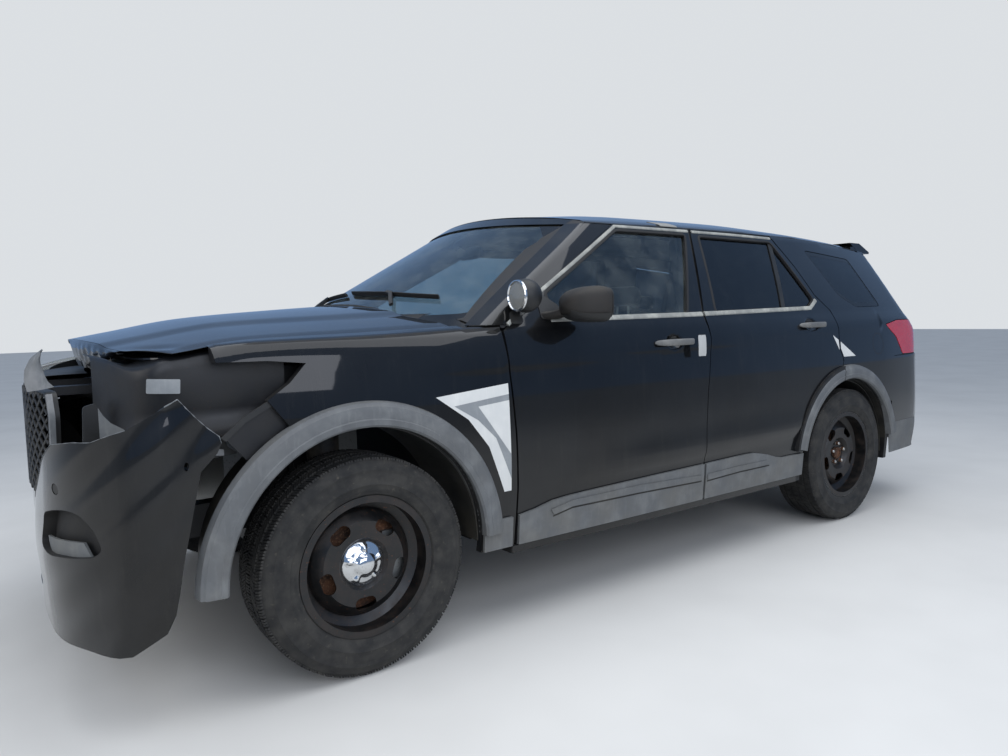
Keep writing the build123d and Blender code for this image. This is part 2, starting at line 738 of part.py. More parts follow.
def rim():
    seat = rim_seat_radius - seat_gap
    well = 196
    barrel = [
        (-rim_half_width, rim_flange_radius), (-102, rim_flange_radius), (-102, seat), (-66, seat),
        (-48, well), (30, well), (48, seat), (102, seat), (102, rim_flange_radius),
        (rim_half_width, rim_flange_radius), (rim_half_width, seat - 6), (45, seat - 6),
        (27, well - 6), (-50, well - 6), (-68, seat - 6), (-rim_half_width, seat - 6),
    ]
    face_y = wheel_offset
    disc = [
        (face_y - 5, hub_bore_radius), (face_y, hub_bore_radius), (face_y, 74), (face_y + 24, 92),
        (face_y + 26, 150), (face_y - 2, 183), (face_y - 14, well - 4), (face_y - 20, well - 4),
        (face_y - 8, 180), (face_y + 20, 147), (face_y + 18, 95), (face_y - 5, 78),
    ]
    wheel = revolved(barrel) + revolved(disc)
    step = 360 / stud_count
    slot = Plane.XZ.offset(-120) * (Pos(0, 140) * SlotCenterToCenter(34, 44))
    hole = extrude(slot, amount=120, dir=(0, -1, 0))
    stud = rod_y(stud_radius + 1, 0, stud_circle / 2, 0, 120)
    for index in range(stud_count):
        wheel = wheel - Rot(0, step * (index + 0.5), 0) * hole - Rot(0, step * index, 0) * stud
    return main_solid(wheel)


def hub():
    """Brake rotor, hub and wheel nuts."""
    face_y = wheel_offset - 5 - seat_gap
    disc = rod_y(rotor_radius, 0, 0, -rotor_half_width, rotor_half_width)
    hat = rod_y(82, 0, 0, rotor_half_width, face_y)
    centre = rod_y(hub_bore_radius - 0.5, 0, 0, 0, wheel_offset + 12)
    shape = disc + hat + centre
    shape = shape - rod_y(spindle_radius + 0.4, 0, 0, -100, 34)
    nut = rod_y(stud_radius, 0, stud_circle / 2, 20, wheel_offset + 20)
    nut = nut + rod_y(11, 0, stud_circle / 2, wheel_offset + seat_gap, wheel_offset + 22)
    for index in range(stud_count):
        shape = shape + Rot(0, 360 / stud_count * index, 0) * nut
    return main_solid(shape)


def wheel_liner(axle_x, arch, inner_y, radius, wall=5):
    x = axle_x + arch[0]
    liner = rod_y(radius, x, arch[1], inner_y, body_half_width - 50) - rod_y(radius - wall, x, arch[1], inner_y + wall, 1300)
    liner = liner & block(-3000, 3000, 0, 1300, arch[1] - 20, 1400)
    return liner


def wheel_liners():
    front_liner = wheel_liner(front_axle_x, front_arch, 600, front_arch[2] - seat_gap)
    front_liner = front_liner - block(0, 3000, 0, 612, 0, 2000)
    front_liner = front_liner - rod_z(70, front_axle_x, 590, 0, 2000)
    rear_liner = wheel_liner(rear_axle_x, rear_arch, 660, rear_arch[2] - 10)
    edge = wheel_liner(rear_axle_x, rear_arch, 660, rear_arch[2] - seat_gap, 12)
    rear_liner = rear_liner + (edge & block(-3000, rear_axle_x - 60, 820, 925, 0, 2000))
    rear_liner = rear_liner - block(-3000, 0, 0, 800, 0, 730)
    pair = [main_solid(front_liner), main_solid(rear_liner)]
    return pair + [other_side(liner) for liner in pair]


def dashboard():
    back = firewall_x - 30 - seat_gap
    profile = [
        (back, 760), (back, 1110), (960, 1150), (760, 1120), (640, 1080), (620, 960), (700, 820),
        (860, 760),
    ]
    panel = side_prism(profile, -770, 770) - steering_place() * steering_column(seat_gap)
    console = block(-180, 760, -130, 130, 500 + seat_gap, 700)
    return main_solid(panel + console)


def steering_column(grow=0):
    return Pos(0, 0, -120) * Cylinder(24 + grow, 200 + 2 * grow)


def steering_place():
    return Location((468, 370, 1020), (0, -66, 0)) * Location((0, 0, 0), (0, 0, -90))


def steering_wheel():
    rim_ring = Torus(182, 15)
    spoke = Box(360, 40, 16) + Pos(0, -90, 0) * Box(40, 180, 16) + Cylinder(62, 50)
    shape = rim_ring + spoke + steering_column()
    return main_solid(steering_place() * shape)


def seat(y_low, y_high, x_front, back_lean, top, base):
    """A cushion and a back in one side outline, with a head restraint."""
    back_foot = x_front - 520
    back_top = back_foot - back_lean
    profile = [
        (x_front, base + 190), (x_front - 20, base + 250), (back_foot + 110, base + 220),
        (back_top + 110, top), (back_top, top), (back_foot - 10, base + 110), (x_front - 40, base + 100),
    ]
    shape = side_prism(profile, y_low, y_high)
    foot = block(back_foot + 40, x_front - 80, y_low + 60, y_high - 60, base, base + 150)
    shape = shape + foot
    middle = (y_low + y_high) / 2
    heads = [middle] if y_high - y_low < 700 else [middle - 330, middle + 330]
    for head in heads:
        shape = shape + block(back_top - 4, back_top + 96, head - 120, head + 120, top - 20, top + 150)
    return main_solid(shape)


def fuel_tank():
    tank = block(-1150, -560, 130, 640, 200, 360 - seat_gap)
    return fillet(tank.edges().filter_by(Axis.Y), 30)


def exhaust():
    top = 360 - seat_gap
    pipe = rod_x(30, -280, top - 30, -2150, 1000)
    muffler = Pos(-2250, 0, 330) * Box(180, 900, 170)
    muffler = fillet(muffler.edges().filter_by(Axis.Y), 50)
    muffler = muffler + block(-2250, -2220, -30, 30, 330, 730 - seat_gap)
    tips = rod_x(32, 380, 330, -2570, -2240) + rod_x(32, -380, 330, -2570, -2240)
    return main_solid(pipe + muffler + tips)


def spotlight():
    shell = Pos(806, 946, 1302) * Sphere(66)
    shell = shell - block(806 + 34, 1000, 800, 1100, 1200, 1400)
    arm = Pos(790, 900, 1290) * (Rot(80, 0, 0) * Cylinder(14, 110))
    arm = arm - cabin
    return main_solid(shell + arm)


def place_wheel(shape, axle_x, side):
    if side < 0:
        shape = other_side(shape)
    return shape.moved(Location((axle_x, side * wheel_y, wheel_z)))


left_door, left_door_glass = front_door()
back_door, back_door_glass = rear_door()
housing = mirror_housing()
side_panel = body_side()
fender = front_fender()
knuckle_left = knuckle()
for side_name, turn in (("left", lambda shape: shape), ("right", other_side)):
    save(f"front_door_{side_name}", turn(left_door))
    save(f"front_door_glass_{side_name}", turn(left_door_glass))
    save(f"rear_door_{side_name}", turn(back_door))
    save(f"rear_door_glass_{side_name}", turn(back_door_glass))
    save(f"mirror_{side_name}", turn(housing))
    save(f"body_side_{side_name}", turn(side_panel))
    save(f"front_fender_{side_name}", turn(fender))
    save(f"knuckle_{side_name}", turn(knuckle_left))

wheel_parts = (("tyre", tyre()), ("rim", rim()), ("hub", hub()))
for end_name, axle_x in (("front", front_axle_x), ("rear", rear_axle_x)):
    for side_name, side in (("left", 1), ("right", -1)):
        for part_name, shape in wheel_parts:
            save(f"{part_name}_{end_name}_{side_name}", place_wheel(shape, axle_x, side))

gate, gate_glass = liftgate()
save("liftgate", gate)
save("liftgate_glass", gate_glass)
save("hood", hood())
save("roof_panel", roof_panel())
save("windshield", windshield())
pane = quarter_glass()
save("quarter_glasses", pane, other_side(pane))
save("arch_flares", arch_flares())
save("wheel_liners", wheel_liners())
lamp = tail_lamp()
save("tail_lamps", lamp, other_side(lamp))
save("rear_bumper", rear_bumper())
save("front_bumper", front_bumper())
save("grille", grille())
save("headlamp_right", headlamp())
save("floor_pan", floor_pan())
save("firewall", firewall())
save("front_structure", front_structure())
save("radiator", radiator())
save("engine", engine())
subframe, struts = front_subframe()
save("front_subframe", subframe)
save("front_struts", struts)
save("rear_suspension", rear_suspension())
save("dashboard", dashboard())
save("steering_wheel", steering_wheel())
driver_seat = seat(*front_seat_sizes)
save("front_seats", driver_seat, other_side(driver_seat))
save("rear_seat", seat(*rear_seat_sizes))
save("fuel_tank", fuel_tank())
save("exhaust", exhaust())
save("spotlight", spotlight())

everything = Compound(children=[solid for solids in pieces.values() for solid in solids])
box = everything.bounding_box()
to_origin = Location((-(box.min.X + box.max.X) / 2, 0, 0))
print("moved along X by", round(to_origin.position.X, 3))
for name, solids in pieces.items():
    export_step(Compound(children=[solid.moved(to_origin) for solid in solids]), f"parts/{name}.step")
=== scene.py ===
# %% [markdown]
# # A patrol car with a torn front bumper
# The CAD model of the car is loaded first, as a fixed frame. It holds every part at its real
# size, and it says what turns on what. This script never moves it. It adds what a CAD model
# leaves out: smooth sheet metal, glass, rubber, cloth, dust and light.

# %% Load the CAD frame
import math

import bmesh
import bpy
import numpy as np
from mathutils import Matrix, Vector
from mathutils.geometry import delaunay_2d_cdt


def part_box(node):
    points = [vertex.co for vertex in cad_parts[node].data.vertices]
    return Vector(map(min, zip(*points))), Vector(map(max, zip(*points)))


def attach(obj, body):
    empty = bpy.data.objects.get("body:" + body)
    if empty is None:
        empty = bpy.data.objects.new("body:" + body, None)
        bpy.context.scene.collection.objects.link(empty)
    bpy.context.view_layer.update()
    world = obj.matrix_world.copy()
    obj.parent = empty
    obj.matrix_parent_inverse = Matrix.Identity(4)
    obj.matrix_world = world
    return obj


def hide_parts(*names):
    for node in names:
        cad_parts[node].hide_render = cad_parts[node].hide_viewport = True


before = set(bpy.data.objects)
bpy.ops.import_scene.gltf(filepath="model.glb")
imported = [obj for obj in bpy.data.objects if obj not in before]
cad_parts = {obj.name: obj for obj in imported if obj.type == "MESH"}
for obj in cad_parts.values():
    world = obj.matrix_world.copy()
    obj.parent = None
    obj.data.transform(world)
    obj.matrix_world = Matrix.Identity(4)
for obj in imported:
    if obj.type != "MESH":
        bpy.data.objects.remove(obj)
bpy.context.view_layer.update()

# %% [markdown]
# ## Where things are
# The car's places below are in millimetres from the middle of the wheelbase, with X forward,
# Y to the car's left and Z up, because a body engineer measures a car from its wheels. The
# frame's origin lies under the middle of the whole box instead, so the one shift between
# the two is read from the wheels themselves.

# %% Find the middle of the wheelbase
wheel_boxes = [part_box(name) for name in ("tyre_front_left", "tyre_rear_left")]
middle_x = sum(low.x + high.x for low, high in wheel_boxes) / 4
print("wheelbase middle at X", round(middle_x, 4))


def to_frame(points):
    """Millimetres from the middle of the wheelbase, turned to the frame's metres."""
    return np.asarray(points, float) * 0.001 + np.array([middle_x, 0, 0])


def pair(a, b):
    """Two numbers or arrays as float arrays of one shape."""
    return np.broadcast_arrays(np.asarray(a, float), np.asarray(b, float))


print("the front axle is at X", round(float(to_frame([(1512.5, 0, 0)])[0][0]), 4))

# %% [markdown]
# ## Smooth lines through few numbers
# A stylist describes a body with a few measured stations and lets a smooth line run through
# them. This helper does that with a cubic that never swings past its points, so a flat
# stretch stays flat.

# %% A smooth line through a short table
def smooth(points):
    t, v = np.array(points, float).T
    step = np.diff(t)
    slope = np.diff(v) / step
    tangent = np.concatenate([slope[:1], np.zeros(len(t) - 2), slope[-1:]])
    for i in range(1, len(t) - 1):
        if slope[i - 1] * slope[i] > 0:
            a, b = 2 * step[i] + step[i - 1], step[i] + 2 * step[i - 1]
            tangent[i] = (a + b) / (a / slope[i - 1] + b / slope[i])

    def line(x):
        x = np.asarray(x, float)
        i = np.clip(np.searchsorted(t, x) - 1, 0, len(t) - 2)
        s = (x - t[i]) / step[i]
        inner = (
            (1 + 2 * s) * (1 - s) ** 2 * v[i] + s**2 * (3 - 2 * s) * v[i + 1]
            + s * (1 - s) ** 2 * step[i] * tangent[i] + s**2 * (s - 1) * step[i] * tangent[i + 1]
        )
        before = v[0] + tangent[0] * (x - t[0])
        after = v[-1] + tangent[-1] * (x - t[-1])
        return np.where(s < 0, before, np.where(s > 1, after, inner))

    return line


def ramp(x, low, high):
    """0 below low, 1 above high, and a smooth step between them."""
    t = np.clip((np.asarray(x, float) - low) / (high - low), 0, 1)
    return t * t * (3 - 2 * t)


print("a quarter of the way up a ramp the height is", ramp(0.25, 0, 1))

# %% [markdown]
# ## The body's shape in formulas
# The cabin narrows in three ways: along its length, above its widest line, and over the
# roof. Each way is one smooth line, and together they give the place of every point on the
# skin. The skin lies a few millimetres outside the CAD's flat-faced one.

# %% Lines of the body side
skin_lift = 3.0
half_width = smooth([
    (-2700, 893), (-2250, 958), (-1850, 980), (-1400, 985), (-200, 986), (300, 985),
    (900, 978), (1500, 972), (1850, 962), (2100, 955), (2440, 945),
])
inward = smooth([(300, 25), (480, 10), (700, 0), (900, 5), (1060, 20), (1150, 40), (1205, 70)])
rail_y = smooth([
    (-2700, 620), (-2250, 645), (-1850, 660), (-1400, 672), (-900, 676), (-200, 676), (300, 668), (1150, 640),
])
rail_z = smooth([
    (-2700, 1540), (-2250, 1588), (-1850, 1622), (-1400, 1646), (-900, 1654), (-200, 1654),
    (300, 1650), (1150, 1560),
])
roof_z = smooth([
    (-2700, 1600), (-2250, 1672), (-1850, 1714), (-1400, 1744), (-900, 1764), (-200, 1758),
    (300, 1720), (1150, 1640),
])
crest_y = smooth([(900, 915), (1500, 918), (1850, 912), (2100, 888), (2440, 860)])
crest_z = smooth([(900, 1184), (1500, 1165), (1850, 1160), (2100, 1130), (2440, 1056)])
hood_z = smooth([(900, 1295), (1500, 1262), (1850, 1235), (2100, 1190), (2440, 1128)])
shoulder_z = smooth([(-2400, 1150), (-1260, 1108), (-500, 1085), (670, 1052), (1500, 1040), (1900, 1035)])
belt_z = 1205


print("the car is widest at", float(half_width(-200)), "mm from its middle")

# %% [markdown]
# The side has two pressed creases. They catch the light, stiffen the metal, and fade out
# before the wheels. The cabin's and the fenders' half widths add them to the smooth lines.

# %% Half widths of the cabin and the fenders
def creases(x, z):
    """Two raised lines along the side: one under the handles, one above the sill."""
    above = z - shoulder_z(x)
    shoulder = 6 * np.exp(-np.where(above > 0, above / 46, above / 20) ** 2)
    above = z - (556 + 0.016 * (840 - x))
    sill = 12 * np.exp(-np.where(above > 0, above / 80, above / 26) ** 2)
    return shoulder * ramp(-x, -1500, -900) + sill * ramp(-x, -880, -100) * ramp(x, -1400, -900)


def cabin_y(x, z):
    """Half width of the cabin at a height below the roof rail."""
    belt = half_width(x) - inward(belt_z)
    share = (z - belt_z) / (rail_z(x) - belt_z)
    above = belt + (rail_y(x) - belt) * share + 30 * share * (1 - share)
    return np.where(z < belt_z, half_width(x) - inward(z) + creases(x, z), above)


def front_y(x, z):
    """Half width of the fenders at a height below their crest."""
    low, high = half_width(x) - inward(1060), crest_y(x)
    share = (z - 1060) / (crest_z(x) - 1060)
    above = low + (high - low) * share + 24 * share * (1 - share)
    return np.where(z < 1060, half_width(x) - inward(z), above) + creases(x, z)


print("half width at the shoulder", float(cabin_y(0, 1085)))

# %% [markdown]
# Above the top edge the section goes on as an arc over the roof or the hood, and the corner
# between the two is softened by averaging a few points along the section.

# %% Whole cross-sections
def over_top(x, q, side, top_y, top_z, crown):
    """A point on a cross-section: q is the height up to the top edge, then the way in over the top."""
    edge = top_z(x)
    over = np.maximum(q - edge, 0)
    rise = crown(x) - edge
    radius = (top_y(x) ** 2 + rise**2) / (2 * rise)
    angle = np.arcsin(top_y(x) / radius) - over / radius
    y = np.where(over > 0, radius * np.sin(angle), side(x, np.minimum(q, edge)))
    z = np.where(over > 0, edge + rise - radius + radius * np.cos(angle), np.minimum(q, edge))
    return np.stack([x, y, z], -1)


def rounded_over(x, q, reach, *lines):
    """The same, with the corner at the top edge rounded by averaging along the section."""
    steps = np.linspace(-1, 1, 7)
    return sum(over_top(x, q + s * reach, *lines) for s in steps) / len(steps)


def cabin_skin(x, q):
    return rounded_over(*pair(x, q), 16, cabin_y, rail_y, rail_z, roof_z)


def front_skin(x, q):
    return rounded_over(*pair(x, q), 12, front_y, crest_y, crest_z, hood_z)


print("half width at the driver", cabin_skin(0, 700)[1].round(1), "mm")

# %% [markdown]
# ## The windshield
# A windshield is one curved sheet that leans back. Here it is ruled between a wide arc at
# the cowl and a narrower one at the header, as in the CAD.

# %% The windshield's surface
cowl_arc = (1120, 1487, 1100, 940)
header_arc = (1760, 332, 25, 640)
arc_reach = 1.15


def arc_numbers(arc):
    _, middle, edge, edge_y = arc
    bulge = middle - edge
    radius = (edge_y**2 + bulge**2) / (2 * bulge)
    return middle, radius, math.asin(edge_y * arc_reach / radius)


def windshield_point(y, z):
    y, z = pair(y, z)
    share = (z - cowl_arc[0]) / (header_arc[0] - cowl_arc[0])
    (mid_a, rad_a, ang_a), (mid_b, rad_b, ang_b) = arc_numbers(cowl_arc), arc_numbers(header_arc)
    low, high = np.full(y.shape, -1.0), np.full(y.shape, 1.0)
    for _ in range(30):
        u = (low + high) / 2
        found = (1 - share) * rad_a * np.sin(u * ang_a) + share * rad_b * np.sin(u * ang_b)
        low, high = np.where(found < y, u, low), np.where(found < y, high, u)
    x_a = mid_a - rad_a * (1 - np.cos(u * ang_a))
    x_b = mid_b - rad_b * (1 - np.cos(u * ang_b))
    return np.stack([(1 - share) * x_a + share * x_b, y, z], -1)


print("the glass at the cowl reaches x", windshield_point(0, 1150)[0].round(1))

# %% [markdown]
# Places where two surfaces cross are found by halving: the test says on which side a point
# lies, and thirty halvings leave less than a thousandth of a millimetre.

# %% Crossings by halving
def meet(low, high, ahead):
    """The x at which a test turns from behind to ahead, found by halving."""
    low, high = np.array(low, float), np.array(high, float)
    for _ in range(30):
        middle = (low + high) / 2
        past = ahead(middle)
        low, high = np.where(past, low, middle), np.where(past, middle, high)
    return (low + high) / 2


def pillar_corner(z):
    """Where the cabin side meets the windshield, at these heights."""
    z = np.asarray(z, float)
    x = meet(z * 0 - 100, z * 0 + 1300, lambda x: x > windshield_point(cabin_y(x, z), z)[..., 0])
    return x, cabin_y(x, z)


print("pillar corner at z 1400:", [round(float(v)) for v in pillar_corner(1400.0)])

# %% [markdown]
# ## Outlines
# A pressed panel is a thin sheet with a clean outline. Outlines are drawn flat, with few
# points. These helpers round their corners, put in more points along them, and tell which
# points lie inside.

# %% Helpers for flat outlines
def rounded(points, radius, steps=5):
    """A closed outline with each corner cut to an arc."""
    points = [np.array(p, float) for p in points]
    out = []
    for i, corner in enumerate(points):
        before, after = points[i - 1] - corner, points[(i + 1) % len(points)] - corner
        a, b = np.linalg.norm(before), np.linalg.norm(after)
        cut = min(radius, 0.45 * a, 0.45 * b)
        start, end = corner + before / a * cut, corner + after / b * cut
        for t in np.linspace(0, 1, steps):
            out.append((1 - t) ** 2 * start + 2 * t * (1 - t) * corner + t**2 * end)
    return out


def dense(points, step, closed=True):
    """More points along an outline, no further apart than step."""
    out = []
    count = len(points)
    for i in range(count if closed else count - 1):
        a, b = np.array(points[i], float), np.array(points[(i + 1) % count], float)
        parts = max(1, math.ceil(np.linalg.norm(b - a) / step))
        out += [a + (b - a) * k / parts for k in range(parts)]
    return out if closed else out + [np.array(points[-1], float)]


def inside(points, outline):
    """Which points are inside a closed outline."""
    points, outline = np.asarray(points), np.asarray(outline)
    result = np.zeros(len(points), bool)
    for a, b in zip(outline, np.roll(outline, -1, 0)):
        crosses = (a[1] > points[:, 1]) != (b[1] > points[:, 1])
        with np.errstate(divide="ignore", invalid="ignore"):
            x = (b[0] - a[0]) * (points[:, 1] - a[1]) / (b[1] - a[1]) + a[0]
        result ^= crosses & (points[:, 0] < x)
    return result


square = [(0, 0), (100, 0), (100, 100), (0, 100)]
print("a square with rounded corners has", len(rounded(square, 10)), "points")

# %% [markdown]
# ## Filling an outline
# The outline, its holes and a lattice of points between them are joined into triangles on
# the flat. The even lattice matters more than the triangle count, because the sheet is bent
# afterwards and long thin triangles would show as creases.

# %% Triangles that fill an outline
def inside_all(points, loops):
    """Which points are inside the first loop and outside the others."""
    keep = inside(points, loops[0])
    for hole in loops[1:]:
        keep &= ~inside(points, hole)
    return keep


def flat_mesh(outline, holes, spacing, extra=()):
    """Points and triangles that fill an outline and leave its holes open."""
    loops = [dense(loop, spacing * 0.8) for loop in [outline, *holes]]
    points, edges = [], []
    for loop in loops:
        start = len(points)
        points += loop
        edges += [(start + i, start + (i + 1) % len(loop)) for i in range(len(loop))]
    border = np.array(points)
    low, high = border.min(0), border.max(0)
    columns = np.arange(low[0] + spacing / 2, high[0], spacing)
    grid = np.stack(np.meshgrid(columns, np.arange(low[1] + spacing / 2, high[1], spacing)),
                    -1).reshape(-1, 2)
    if len(extra):
        spots = np.array(extra, float)
        far = np.min(np.sum((grid[:, None] - spots[None]) ** 2, 2), 1) > (0.4 * spacing) ** 2
        grid = np.concatenate([grid[far], spots])
    grid = grid[inside_all(grid, loops)]
    near = np.array([np.min(np.sum((border - g) ** 2, 1)) for g in grid])
    closest = 5 if len(extra) else 0.45 * spacing
    grid = grid[near > closest**2]
    made = delaunay_2d_cdt([Vector(p) for p in [*points, *grid]], edges, [], 1, 1e-4)
    flat = np.array([tuple(v) for v in made[0]])
    faces = np.array([f for f in made[2] if len(f) == 3])
    return flat, faces[inside_all(flat[faces].mean(1), loops)]


print("the square is filled by", len(flat_mesh(square, [], 25)[1]), "triangles")

# %% [markdown]
# ## A sheet with a front, a back and an edge
# A single layer of triangles has no inside, and light leaks through it. Each sheet gets a
# back and a rim. The normals are worked out from the surface itself and stored at the
# corners, so reflections run as smoothly as on a real pressing.

# %% Sheets from points, faces and normals
def surface_normals(surface, flat, side):
    """Unit normals by small steps on the surface, facing out of the car."""
    step = 2.0
    along = surface(flat[:, 0] + step, flat[:, 1]) - surface(flat[:, 0] - step, flat[:, 1])
    up = surface(flat[:, 0], flat[:, 1] + step) - surface(flat[:, 0], flat[:, 1] - step)
    normals = np.cross(along, up) * side
    return normals / np.linalg.norm(normals, axis=1)[:, None]


def add_object(name, mesh):
    obj = bpy.data.objects.new(name, mesh)
    bpy.context.scene.collection.objects.link(obj)
    return obj


def mesh_object(name, points, faces, normals=None):
    """An object at the origin from points in millimetres and faces."""
    mesh = bpy.data.meshes.new(name)
    mesh.from_pydata(to_frame(points).tolist(), [], [list(map(int, f)) for f in faces])
    mesh.validate()
    mesh.shade_smooth()
    if normals is not None:
        corner = np.empty(len(mesh.loops), int)
        mesh.loops.foreach_get("vertex_index", corner)
        mesh.normals_split_custom_set(np.asarray(normals)[corner].tolist())
    return add_object(name, mesh)


def sheet_mesh(name, points, faces, normals, thickness):
    """A sheet with a front, a back and a closed edge."""
    count = len(points)
    sides = {(int(a), int(b)) for face in faces for a, b in zip(face, np.roll(face, -1))}
    walls, wall_faces, wall_normals = [], [], []
    for a, b in sorted(sides):
        if (b, a) in sides:
            continue
        outward = np.cross(points[b] - points[a], normals[a])
        outward /= max(np.linalg.norm(outward), 1e-9)
        start = 2 * count + len(walls)
        walls += [
            points[a], points[b], points[b] - normals[b] * thickness, points[a] - normals[a] * thickness
        ]
        wall_faces.append([start + 1, start, start + 3, start + 2])
        wall_normals += [outward] * 4
    everything = [*points, *(points - normals * thickness), *walls]
    shape = [*faces.tolist(), *(faces[:, ::-1] + count).tolist(), *wall_faces]
    return mesh_object(name, everything, shape, [*normals, *(-normals), *wall_normals])


print("one millimetre is", to_frame([(1, 0, 0)])[0][0] - middle_x, "in the frame")

# %% [markdown]
# ## Panels and lofts
# Two tools make nearly all the sheet metal. A panel is a flat outline set on a surface. A
# loft is a sheet through rows of points. Both can be mirrored to the car's right side: a
# mirror turns a shape inside out, so its faces are turned back.

# %% Panel and loft
def put(obj, body, material):
    """The last step of each piece: its body and its material."""
    obj.data.materials.clear()
    obj.data.materials.append(material)
    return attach(obj, body)


def finish_sheet(name, body, material, points, faces, normals, side, thickness):
    """Faces turned to agree with the normals, mirrored for the right side, and put in place."""
    a, b, c = (points[faces[:, k]] for k in range(3))
    if np.sum(np.cross(b - a, c - a) * normals[faces[:, 0]]) < 0:
        faces = faces[:, ::-1]
    if side < 0:
        points, normals, faces = points * [1, -1, 1], normals * [1, -1, 1], faces[:, ::-1]
    return put(sheet_mesh(name, points, faces, normals, thickness), body, material)


def panel(name, body, material, surface, outline, holes=(), side=1, outward=-1, lift=skin_lift,
          thickness=1.5, spacing=32, warp=None, extra=()):
    """A pressed panel on a surface; side -1 makes the right-hand one."""
    flat, faces = flat_mesh(outline, holes, spacing, extra)
    normals = surface_normals(surface, flat, outward)
    points = surface(flat[:, 0], flat[:, 1]) + normals * lift
    if warp is not None:
        points, normals = warp(points, normals)
    return finish_sheet(name, body, material, points, faces, normals, side, thickness)


def lofted(name, body, material, rows, side=1, thickness=1.5):
    """A sheet through rows of points; rows and columns run so that their cross faces out."""
    rows = np.asarray(rows, float)
    m, n = rows.shape[:2]
    normals = np.cross(np.gradient(rows, axis=0), np.gradient(rows, axis=1)).reshape(-1, 3)
    normals /= np.maximum(np.linalg.norm(normals, axis=1), 1e-9)[:, None]
    faces = np.array([
        (i * n + j, (i + 1) * n + j, (i + 1) * n + j + 1, i * n + j + 1) for i in range(m - 1)
        for j in range(n - 1)
    ])
    return finish_sheet(name, body, material, rows.reshape(-1, 3), faces, normals, side, thickness)


print("sheet metal tools ready")

# %% [markdown]
# ## Colours and one helper for nodes
# A car shows about twenty finishes. Each is a small node tree on the Principled shader. One
# function adds a node, sets it and joins it, so that a tree reads from top to bottom like a
# recipe. Colours are written as they look on a screen and turned to linear light here.

# %% Colours and nodes
def linear(code, alpha=1.0):
    parts = [int(code[i:i + 2], 16) / 255 for i in (1, 3, 5)]
    return (*[p / 12.92 if p <= 0.04045 else ((p + 0.055) / 1.055) ** 2.4 for p in parts], alpha)


def add(tree, kind, settings=None, links=None):
    """Add a node; settings are its attributes or input values, and links are nodes (their
    first output is meant) or single outputs that feed its inputs."""
    node = tree.nodes.new(kind)
    for name, value in (settings or {}).items():
        if isinstance(name, str) and hasattr(node, name):
            setattr(node, name, value)
        else:
            node.inputs[name].default_value = value
    for name, source in (links or {}).items():
        tree.links.new(getattr(source, "outputs", [source])[0], node.inputs[name])
    return node


print("middle grey in linear light", round(linear("#808080")[0], 3))

# %% [markdown]
# ## Blotches and dust
# Wear on a car is never even. Noise with a soft threshold gives blotches of a chosen size,
# and stretching it upright turns them into rain streaks. Dust lies on what faces up, and
# road dirt fades out above the sills, so both are read from the surface's own direction and
# height.

# %% Masks for wear
def shader(name, colour, roughness, **sockets):
    """A material whose constants sit on the Principled shader's own sockets."""
    made = bpy.data.materials.new(name)
    made.use_nodes = True
    tree = made.node_tree
    main = tree.nodes["Principled BSDF"]
    main.inputs["Base Color"].default_value = linear(colour)
    main.inputs["Roughness"].default_value = roughness
    for socket, value in sockets.items():
        main.inputs[socket.replace("_", " ")].default_value = value
    place = add(tree, "ShaderNodeTexCoord").outputs["Object"]
    return made, tree, main, place


def patches(tree, place, size_mm, low, high, detail=4.0, stretch=None, amount=1.0):
    """Blotches of about that size: 0 where the noise is below low, amount where above high."""
    if stretch:
        place = add(tree, "ShaderNodeMapping", {"Scale": stretch}, {"Vector": place})
    noise = add(tree, "ShaderNodeTexNoise", {"Scale": 1000 / size_mm, "Detail": detail, "Roughness": 0.6},
                {"Vector": place})
    return add(tree, "ShaderNodeMapRange", {
        "From Min": low, "From Max": high, "To Max": amount, "interpolation_type": "SMOOTHSTEP",
    }, {"Value": noise})


def settled_dust(tree, place, amount=1.0, on_top=0.55, near_road=0.6):
    """Dust in blotches on what faces up and near the road."""
    facing = add(tree, "ShaderNodeSeparateXYZ", None,
                 {"Vector": add(tree, "ShaderNodeNewGeometry").outputs["Normal"]})
    up = add(tree, "ShaderNodeMapRange", {"From Min": 0.35, "From Max": 1.0, "To Max": on_top},
             {"Value": facing.outputs["Z"]})
    height = add(tree, "ShaderNodeSeparateXYZ", None, {"Vector": place})
    low = add(tree, "ShaderNodeMapRange", {"From Min": 0.95, "From Max": 0.35, "To Max": near_road},
              {"Value": height.outputs["Z"]})
    more = add(tree, "ShaderNodeMath", {"operation": "MAXIMUM", "use_clamp": True}, {0: up, 1: low})
    blotches = patches(tree, place, 160, 0.25, 0.75, 8.0, None, amount)
    return add(tree, "ShaderNodeMath", {"operation": "MULTIPLY", "use_clamp": True}, {0: more, 1: blotches})


print("masks ready")

# %% [markdown]
# ## Ageing a finish
# Each finish is aged in the same way. Colours are laid over one another where a mask says,
# some of the shader's sockets change with a mask, and relief a fraction of a millimetre
# high bends the light. One function does all three, so that a material is only a list.

# %% Layers of colour, change and relief
def age(tree, main, colour, layers, changes, relief):
    """layers: (colour, mask). changes: socket: (clean, worn, mask). relief: (mask, mm)."""
    top = None
    for upper, mask in layers:
        links = {"Factor": mask} | ({6: top.outputs[2]} if top else {})
        top = add(tree, "ShaderNodeMix", {"data_type": "RGBA", 6: linear(colour), 7: linear(upper)}, links)
    tree.links.new(top.outputs[2], main.inputs["Base Color"])
    for socket, (clean, worn, mask) in changes.items():
        between = add(tree, "ShaderNodeMapRange", {"To Min": clean, "To Max": worn}, {"Value": mask})
        tree.links.new(between.outputs["Result"], main.inputs[socket])
    bump = None
    for mask, millimetres in relief:
        links = {"Height": mask} | ({"Normal": bump} if bump else {})
        bump = add(tree, "ShaderNodeBump", {"Distance": millimetres / 1000, "Strength": 1.0}, links)
        tree.links.new(bump.outputs["Normal"], main.inputs["Normal"])


